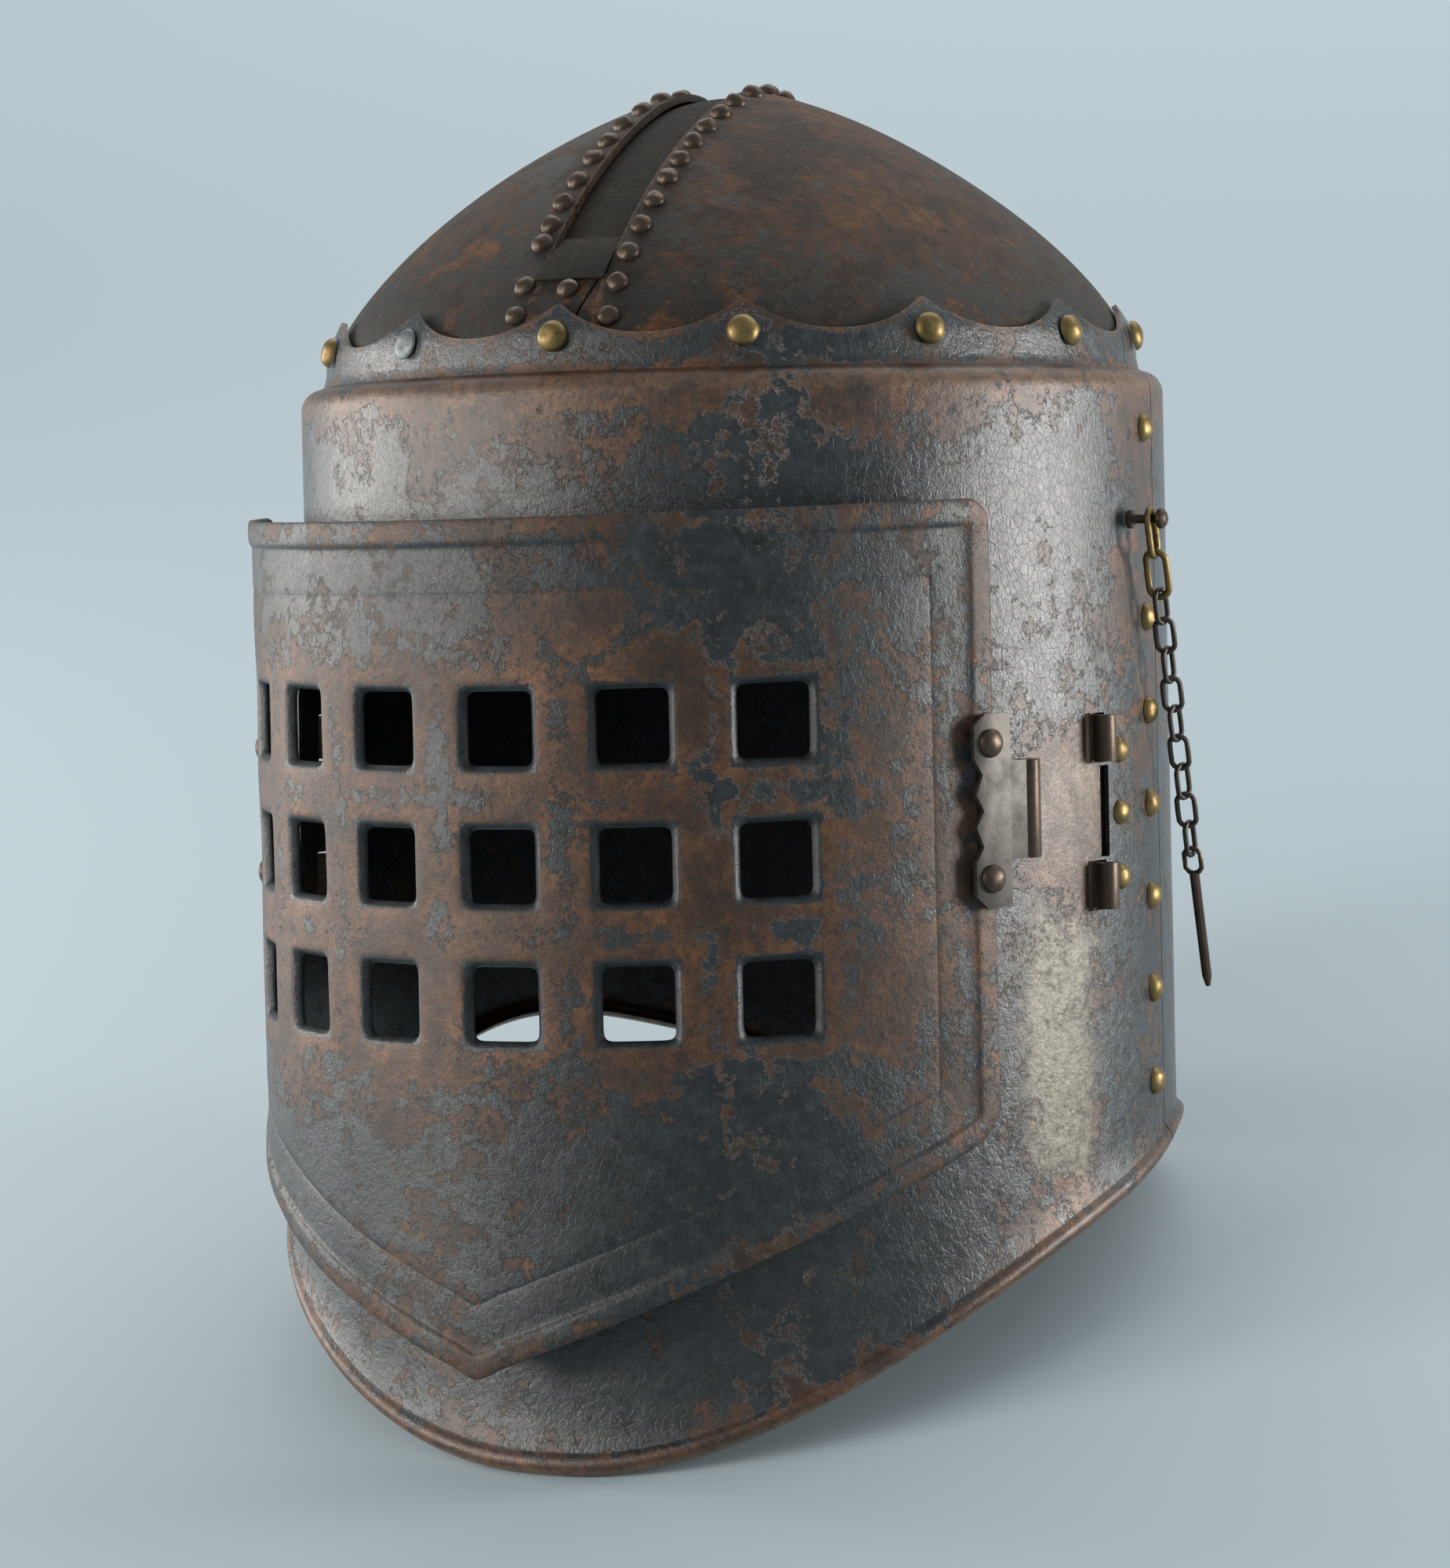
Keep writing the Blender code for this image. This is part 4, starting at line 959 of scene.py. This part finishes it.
iron_parts = []
for side in ("left", "right"):
    iron_parts.append(
        softened_copy("visor_hinge_plate_" + side, "hinge_plate_" + side, "visor_body", 0.0004)
    )
    iron_parts.append(
        softened_copy("barrel_hinge_leaf_" + side, "hinge_leaf_" + side, "helmet", 0.0003)
    )
for node, name in (
    ("hinge_pin_left", "left_pin"),
    ("hanging_pin_right", "hanging_pin"),
    ("chain_bolt", "bolt_of_chain"),
):
    iron_parts.append(softened_copy(node, name, "helmet", 0.0002))
print("softened iron parts:", len(iron_parts))

# %% [markdown]
# The middle knuckle was rolled round its pin, so it stands off the flat of the plate as a round
# tube, open at both ends. It is a cylinder whose ends are inset and pushed in. Only the open right
# hinge shows one. The left knuckle is round its pin, and keeps the shape that the CAD gives it.

# %% The open knuckle of the visor
TUBE_R, TUBE_WALL, TUBE_DEEP = 2.75, 1.2, 3.0
TUBE_BEYOND, TUBE_OUT = 10.2, 2.5
tube_deg = VISOR_MID + VISOR_HALF + TUBE_BEYOND * DEG_PER_MM
clear_selection()
bpy.ops.mesh.primitive_cylinder_add(
    vertices=32, radius=TUBE_R, depth=KNUCKLE_MID, end_fill_type="NGON"
)
knuckle = bpy.context.object
knuckle.name = "knuckle_tube_right"
bpy.ops.object.mode_set(mode="EDIT")
bpy.ops.mesh.select_mode(type="FACE")
bpy.ops.mesh.select_all(action="DESELECT")
bm = bmesh.from_edit_mesh(knuckle.data)
for f in bm.faces:
    f.select_set(abs(f.normal.z) > 0.9)
bmesh.update_edit_mesh(knuckle.data)
bpy.ops.mesh.inset(thickness=TUBE_WALL, depth=0, use_individual=True)
bpy.ops.mesh.inset(thickness=0.01, depth=-TUBE_DEEP, use_individual=True)
bpy.ops.object.mode_set(mode="OBJECT")
apply_modifier(knuckle, "BEVEL", width=0.3, segments=2, limit_method="ANGLE")
tube_at = visor_point(tube_deg, VISOR_R + TUBE_OUT, HINGE_MID + PLATE_UP)
knuckle.data.transform(Matrix.Translation(tube_at))
finish_piece(knuckle, "visor_body")
print("knuckle tube:", len(knuckle.data.polygons), "faces")

# %% [markdown]
# The chain is bent from soft wire. A link is a torus whose halves are drawn apart; each is copied
# to its place with a quarter turn and a little more, since wire links never hang quite square.


# %% The chain and its brass hooks
def wire_link(name, centre, along, wide, length, width, wire):
    """A long link: a ring drawn out along one axis."""
    clear_selection()
    bpy.ops.mesh.primitive_torus_add(
        major_segments=28, minor_segments=10, major_radius=width / 2 - wire, minor_radius=wire
    )
    link = bpy.context.object
    link.name = name
    half = (length - width) / 2
    for vertex in link.data.vertices:
        if vertex.co.y > 0.01:
            vertex.co.y += half
        elif vertex.co.y < -0.01:
            vertex.co.y -= half
    turn_to = Matrix((wide, along, wide.cross(along))).transposed().to_4x4()
    link.data.transform(Matrix.Translation(centre) @ turn_to)
    return link


LINK_WIRE, LINK_L, LINK_W, IRON_LINKS = 0.75, 11.0, 6.4, 9
HOOK_WIRE, HOOK_L, HOOK_W = 0.95, 15.0, 7.6
down = Vector((0, sin(radians(LEAN)), -cos(radians(LEAN))))
outwards = Vector((1, 0, 0))
aside = down.cross(outwards)
first = Vector((CHAIN_X, CHAIN_Y, BOLT_Z)) + down * (HOOK_L / 2 - 2 * HOOK_WIRE - 1.3 - GAP)
second = first + down * (HOOK_L - 3.3 * HOOK_WIRE)
hook_parts = [
    wire_link("hook_link_1", first, down, aside, HOOK_L, HOOK_W, HOOK_WIRE),
    wire_link("hook_link_2", second, down, outwards, HOOK_L, HOOK_W, HOOK_WIRE),
]
at = second + down * (HOOK_L / 2 - 2 * HOOK_WIRE + LINK_L / 2 - 2 * LINK_WIRE - GAP * 1.4)
chain_parts = []
for k in range(IRON_LINKS):
    off_square = radians((18, -14, 10, -20, 15, -8, 20, -12, 9)[k])
    flat = Matrix.Rotation(off_square + (pi / 2 if k % 2 else 0), 3, down) @ aside
    chain_parts.append(
        wire_link("chain_link_%d" % (k + 1), at, down, flat, LINK_L, LINK_W, LINK_WIRE)
    )
    at = at + down * (LINK_L - 3.3 * LINK_WIRE)
for i, link in enumerate(hook_parts + chain_parts):
    nodes = {0: ["chain_hook_links"], 2: ["chain"]}.get(i, [])
    finish_piece(link, "helmet", nodes, smooth=80)
print("links of wire:", len(hook_parts) + len(chain_parts))

# %% [markdown]
# Colours are given as the sRGB hex values that one reads off a surface, and one function turns
# them to the linear values that shaders use. Another adds a node with its settings and links.


# %% Colour and node helpers
def linear(hex_value):
    """An sRGB hex colour as linear RGBA."""
    made = []
    for i in (0, 2, 4):
        c = int(hex_value[i : i + 2], 16) / 255
        made.append(c / 12.92 if c <= 0.04045 else ((c + 0.055) / 1.055) ** 2.4)
    return (*made, 1.0)


def add_node(mat, kind, settings=None, links=None):
    """A node with its settings (names of inputs or properties) and links (input: output)."""
    node = mat.node_tree.nodes.new(kind)
    for name, value in (settings or {}).items():
        if name in node.inputs:
            node.inputs[name].default_value = value
        elif isinstance(name, int):
            node.inputs[name].default_value = value
        else:
            setattr(node, name, value)
    for name, source in (links or {}).items():
        mat.node_tree.links.new(source, node.inputs[name])
    return node


def new_material(name):
    mat = bpy.data.materials.new(name)
    mat.use_nodes = True
    return mat, mat.node_tree.nodes["Principled BSDF"]


def ramp(mat, source, stops):
    """A colour ramp through (position, hex) stops."""
    node = add_node(mat, "ShaderNodeValToRGB", links={0: source})
    band = node.color_ramp
    while len(band.elements) < len(stops):
        band.elements.new(0.5)
    for element, (position, colour) in zip(band.elements, stops):
        element.position = position
        element.color = linear(colour)
    return node.outputs["Color"]


def speckle(mat, coords, mm, detail=4.0, rough=0.6, distortion=0.0, stretch=(1, 1, 1)):
    """Noise whose blobs are about this many millimetres wide."""
    spread_out = add_node(
        mat,
        "ShaderNodeMapping",
        {"Scale": tuple(1000.0 / mm * s for s in stretch)},
        {"Vector": coords},
    )
    made = add_node(
        mat,
        "ShaderNodeTexNoise",
        {"Scale": 0.5, "Detail": detail, "Roughness": rough, "Distortion": distortion},
        {"Vector": spread_out.outputs["Vector"]},
    )
    return made.outputs["Fac"]


def math(mat, operation, a, b=0.5, clamp=False):
    node = add_node(mat, "ShaderNodeMath", {"operation": operation, "use_clamp": clamp})
    for i, value in enumerate((a, b)):
        if hasattr(value, "is_linked"):
            mat.node_tree.links.new(value, node.inputs[i])
        else:
            node.inputs[i].default_value = value
    return node.outputs["Value"]


def times(mat, a, b):
    return math(mat, "MULTIPLY", a, b)


def plus(mat, a, b, clamp=False):
    return math(mat, "ADD", a, b, clamp)


def minus(mat, a, b):
    return math(mat, "SUBTRACT", a, b)


def steps(mat, source, low, high):
    """0 under low, 1 over high."""
    limits = {"From Min": low, "From Max": high, "clamp": True}
    return add_node(mat, "ShaderNodeMapRange", limits, {"Value": source}).outputs["Result"]


def mixed(mat, share, a, b):
    """Two colours mixed."""
    node = add_node(mat, "ShaderNodeMix", {"data_type": "RGBA"})
    mat.node_tree.links.new(share, node.inputs[0])
    for socket, value in ((node.inputs[6], a), (node.inputs[7], b)):
        if isinstance(value, str):
            socket.default_value = linear(value)
        else:
            mat.node_tree.links.new(value, socket)
    return node.outputs[2]


# %% [markdown]
# The finish of the plates: mild steel that was painted blue-black, and has flaked for a century.
# Where paint is left it is dark slate, a little glossy and crazed. Where it is gone the iron is
# warm brown, with orange bloom and pits. Edges are rubbed bare.


# %% Flaking paint over rust
def attribute(mat, name):
    return add_node(mat, "ShaderNodeAttribute", {"attribute_name": name}).outputs["Fac"]


# Each scratch: first and last mm around the sheet, its height, its slope and its width in mm.
BARREL_SCRATCHES = (
    (-84, -62, -38.5, 0.02, 0.9),
    (-52, 4, -40.0, 0.0, 1.0),
    (-20, 2, -42.0, 0.03, 0.6),
)
VISOR_SCRATCHES = ((79, 85, -50.0, -1.2, 1.3), (84, 90, -56.0, 0.4, 1.1))


def scratches(mat):
    """Black scratches at their places, a little wavy, as a mask."""
    flat = add_node(mat, "ShaderNodeAttribute", {"attribute_name": "flat"}).outputs["Vector"]
    parts = add_node(mat, "ShaderNodeSeparateXYZ", links={"Vector": flat}).outputs
    wave = add_node(mat, "ShaderNodeTexNoise", {"Scale": 0.25, "Detail": 4.0}, {"Vector": flat})
    wave = times(mat, minus(mat, wave.outputs["Fac"], 0.5), 2.4)
    mask = 0.0
    lines = {"visor": VISOR_SCRATCHES, "iron": BARREL_SCRATCHES}.get(mat.name.split("_")[-1], ())
    for first, last, up, slope, wide in lines:
        line = plus(mat, times(mat, parts["X"], slope), up - slope * first)
        away = minus(mat, plus(mat, parts["Y"], wave), line)
        away = math(mat, "ABSOLUTE", away)
        along = math(mat, "ABSOLUTE", minus(mat, parts["X"], (first + last) / 2))
        here = steps(mat, along, (last - first) / 2, (last - first) / 2 - 2)
        one = times(mat, steps(mat, away, wide, wide * 0.4), here)
        mask = math(mat, "MAXIMUM", mask, one)
    if not lines:
        mask = plus(mat, 0.0, 0.0)
    return mask


RUST = ("24150b", "452b17", "613c20", "7f532c")
BAND = ("100d08", "19150d", "231d13", "2e2618")
DOME = ("170f08", "2e1d0f", "4c2f17", "6a431f")
SLATE = ("13171a", "1f2529", "2f363b")
SOOT = ("110e0a", "1c1812", "2a241b")


def flaking_paint(name, paint_share, orange, gloss, rust=RUST, paint_tone=SLATE, coat=0.0):
    mat, shader = new_material(name)
    coords = add_node(mat, "ShaderNodeTexCoord").outputs["Object"]
    large = speckle(mat, coords, 45, 2.0)
    medium = speckle(mat, coords, 8, 12.0, 0.72, 0.3)
    small = speckle(mat, coords, 2.6, 8.0, 0.75, 0.3)
    fine = speckle(mat, coords, 0.8, 4.0, 0.7)
    field = times(mat, large, 0.3)
    field = plus(mat, field, medium)
    field = plus(mat, field, times(mat, small, 0.6))
    middle = 0.95 + (0.5 - paint_share) * 0.3
    bare = times(mat, attribute(mat, "bare"), 0.3)
    field = minus(mat, field, bare)
    paint = steps(mat, field, middle - 0.008, middle + 0.008)
    thin = steps(mat, field, middle - 0.09, middle)

    paint_colour = ramp(mat, small, list(zip((0.32, 0.5, 0.68), paint_tone)))
    blotch = speckle(mat, coords, 8, 6.0, 0.65)
    rust_colour = ramp(mat, blotch, list(zip((0.3, 0.46, 0.58, 0.74), rust)))
    bloom = steps(mat, speckle(mat, coords, 19, 8.0, 0.66), 0.585 - orange * 0.1, 0.68)
    bloom = times(mat, bloom, min(0.2 + orange, 0.75))
    rust_colour = mixed(mat, bloom, rust_colour, "7c4a20")
    dark_pit = steps(mat, fine, 0.46, 0.36)
    rust_colour = mixed(mat, times(mat, dark_pit, 0.75), rust_colour, "1f1713")
    rust_colour = mixed(mat, times(mat, thin, 0.45), rust_colour, "2b2723")
    rub = plus(mat, attribute(mat, "rubbed"), times(mat, small, 0.6))
    rub = steps(mat, rub, 0.66, 1.3)
    rust_colour = mixed(mat, rub, rust_colour, "857360")
    # Pale grey where the steel value is high: bare steel under the hinge, and a painted highlight down
    # the right side of the barrel and visor.
    pale_steel_and_highlight = plus(mat, attribute(mat, "steel"), times(mat, medium, 0.5))
    pale_steel_and_highlight = plus(mat, pale_steel_and_highlight, times(mat, fine, 0.3))
    pale_steel_and_highlight = steps(mat, pale_steel_and_highlight, 0.70, 0.84)
    rust_colour = mixed(mat, pale_steel_and_highlight, rust_colour, "6f6b60")
    paint = times(mat, paint, minus(mat, 1.0, times(mat, pale_steel_and_highlight, 0.8)))
    colour = mixed(mat, paint, rust_colour, paint_colour)
    grit = speckle(mat, coords, 1.5, 8.0, 0.85)
    colour = mixed(mat, times(mat, steps(mat, grit, 0.52, 0.36), 0.75), colour, "0b0907")
    colour = mixed(mat, times(mat, steps(mat, grit, 0.57, 0.7), 0.3), colour, "8a6c4c")
    colour = mixed(mat, scratches(mat), colour, "060505")
    mat.node_tree.links.new(colour, shader.inputs["Base Color"])

    rust_rough = plus(mat, times(mat, fine, 0.25), gloss)
    rust_rough = minus(mat, rust_rough, times(mat, rub, 0.12))
    paint_rough = plus(mat, times(mat, small, 0.35), gloss - 0.2)
    mix_rough = add_node(mat, "ShaderNodeMix", {"data_type": "FLOAT"})
    mat.node_tree.links.new(paint, mix_rough.inputs[0])
    mat.node_tree.links.new(rust_rough, mix_rough.inputs[2])
    mat.node_tree.links.new(paint_rough, mix_rough.inputs[3])
    mat.node_tree.links.new(mix_rough.outputs[0], shader.inputs["Roughness"])
    metal = plus(mat, times(mat, rub, 0.4), 0.1)
    metal = plus(mat, metal, times(mat, pale_steel_and_highlight, 0.5), True)
    shader.inputs["Coat Weight"].default_value = coat
    shader.inputs["Coat Roughness"].default_value = 0.22
    mat.node_tree.links.new(metal, shader.inputs["Metallic"])

    to_mm = add_node(mat, "ShaderNodeMapping", {"Scale": (480, 480, 340)}, {"Vector": coords})
    crazed = add_node(
        mat,
        "ShaderNodeTexVoronoi",
        {"feature": "DISTANCE_TO_EDGE", "Scale": 1.0, "Randomness": 1.0},
        {"Vector": to_mm.outputs["Vector"]},
    ).outputs["Distance"]
    crack = times(mat, steps(mat, crazed, 0.0, 0.08), 0.1)
    height = times(mat, paint, plus(mat, crack, 0.22))
    height = plus(mat, height, times(mat, fine, 0.5))
    height = plus(mat, height, times(mat, small, 0.7))
    bump = add_node(
        mat, "ShaderNodeBump", {"Strength": 0.9, "Distance": 0.0004}, {"Height": height}
    )
    mat.node_tree.links.new(bump.outputs["Normal"], shader.inputs["Normal"])
    mat.node_tree.links.new(bump.outputs["Normal"], shader.inputs["Coat Normal"])
    return mat


# %% [markdown]
# Brass rivets have gone dull olive gold. The iron ones are dark brown and waxy. The chain's wire
# is nearly black.


# %% Rivet and hinge metals
def aged_metal(name, light, dark, metallic, rough, mm=3.0):
    mat, shader = new_material(name)
    coords = add_node(mat, "ShaderNodeTexCoord").outputs["Object"]
    patch = speckle(mat, coords, mm, 6.0, 0.65)
    fine = speckle(mat, coords, 0.6, 3.0, 0.6)
    worn = add_node(mat, "ShaderNodeNewGeometry").outputs["Pointiness"]
    bright = plus(mat, patch, times(mat, steps(mat, worn, 0.48, 0.56), 0.25))
    colour = ramp(mat, bright, [(0.38, dark), (0.66, light)])
    mat.node_tree.links.new(colour, shader.inputs["Base Color"])
    roughness = plus(mat, times(mat, patch, -0.3), rough + 0.15, True)
    mat.node_tree.links.new(roughness, shader.inputs["Roughness"])
    shader.inputs["Metallic"].default_value = metallic
    height = plus(mat, times(mat, fine, 0.5), patch)
    relief = {"Strength": 0.5, "Distance": 0.0002}
    bump = add_node(mat, "ShaderNodeBump", relief, {"Height": height})
    mat.node_tree.links.new(bump.outputs["Normal"], shader.inputs["Normal"])
    return mat


plate_finish = flaking_paint("flaked_paint_on_iron", 0.76, 0.2, 0.36, coat=0.4)
dome_finish = flaking_paint("flaked_paint_on_dome", 0.75, 0.85, 0.62, DOME, SOOT, 0.0)
visor_finish = flaking_paint("flaked_paint_on_visor", 0.74, 0.2, 0.42, coat=0.14)
band_finish = flaking_paint("bare_band_of_crown", -0.6, 0.0, 0.75, BAND, coat=0.0)
brass_finish = aged_metal("aged_brass", "7c6a45", "33291a", 0.85, 0.46)
iron_finish = aged_metal("waxed_brown_iron", "493c31", "211914", 0.6, 0.42)
steel_finish = aged_metal("worn_steel", "4b4844", "2b2723", 0.6, 0.5, 4.0)
wire_finish = aged_metal("black_iron_wire", "45403d", "1a1817", 0.7, 0.45)
tin_finish = aged_metal("grey_tin", "777c7e", "44484a", 0.9, 0.5)

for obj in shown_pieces():
    name = obj.name
    if name in ("crown_band", "band_end"):
        finish = band_finish
    elif name.startswith("dome_half") or name in ("front_tab", "front_corner"):
        finish = dome_finish
    elif name == "visor_plate":
        finish = visor_finish
    elif name.startswith(("front_plate", "back_plate", "lap_tongue")):
        finish = plate_finish
    elif name.startswith(("brow_rivet", "seam_head", "leaf_head", "hook_link")):
        finish = tin_finish if name == "brow_rivet_14" else brass_finish
    elif name.startswith("chain"):
        finish = wire_finish
    elif name.startswith("hinge_plate"):
        finish = steel_finish
    else:
        finish = iron_finish
    if obj.data.materials:
        obj.material_slots[0].material = finish
    else:
        obj.data.materials.append(finish)

# %% [markdown]
# The photograph has a seamless pale grey background and soft light from all round, which the world
# gives. A wide lamp high up lights the floor behind. A small one on the right makes the bright
# band down the barrel, which the plates' colour also paints in as a pale grey highlight. Two on
# the left light the visor's far end, and one stands high in front.


# %% Floor, backdrop and light
def area_light(name, at, aim, size, watts, colour="ffffff"):
    data = bpy.data.lights.new(name, "AREA")
    data.shape = "RECTANGLE"
    data.size, data.size_y = size
    data.energy = watts
    data.color = linear(colour)[:3]
    lamp = bpy.data.objects.new(name, data)
    bpy.context.scene.collection.objects.link(lamp)
    lamp.location = at
    lamp.rotation_euler = (Vector(aim) - Vector(at)).to_track_quat("-Z", "Y").to_euler()


clear_selection()
bpy.ops.mesh.primitive_plane_add(size=1)
floor = bpy.context.object
floor.name = "floor"
floor.data.transform(Matrix.Diagonal((14.0, 14.0, 1.0, 1.0)))
floor_mat, floor_shader = new_material("pale_floor")
floor_shader.inputs["Base Color"].default_value = linear("a8b7bf")
floor_shader.inputs["Roughness"].default_value = 0.9
floor.data.materials.append(floor_mat)

world = bpy.data.worlds.new("studio")
bpy.context.scene.world = world
world.use_nodes = True
world.node_tree.nodes["Background"].inputs["Color"].default_value = linear("c6cfd4")
world.node_tree.nodes["Background"].inputs["Strength"].default_value = 0.66
area_light("overhead", (0.0, 2.6, 2.2), (0.0, 2.3, 0), (5.0, 2.4), 90, "fffaf4")
area_light("right_band", (0.95, 0.28, 0.15), (0.08, 0, 0.12), (0.27, 0.28), 10, "fffaf4")
area_light("left_band", (-1.13, -0.96, 0.5), (0, 0, 0.25), (0.4, 0.4), 13, "fff9f2")
area_light("left_low", (-1.2, 0.06, 0.3), (0, 0, 0.2), (0.3, 0.55), 7, "fff9f2")
area_light("front_high", (-0.9, -1.6, 1.3), (0, 0, 0.2), (0.8, 0.8), 9, "fff4e6")
bpy.context.scene.view_settings.view_transform = "Standard"
bpy.context.scene.view_settings.look = "None"
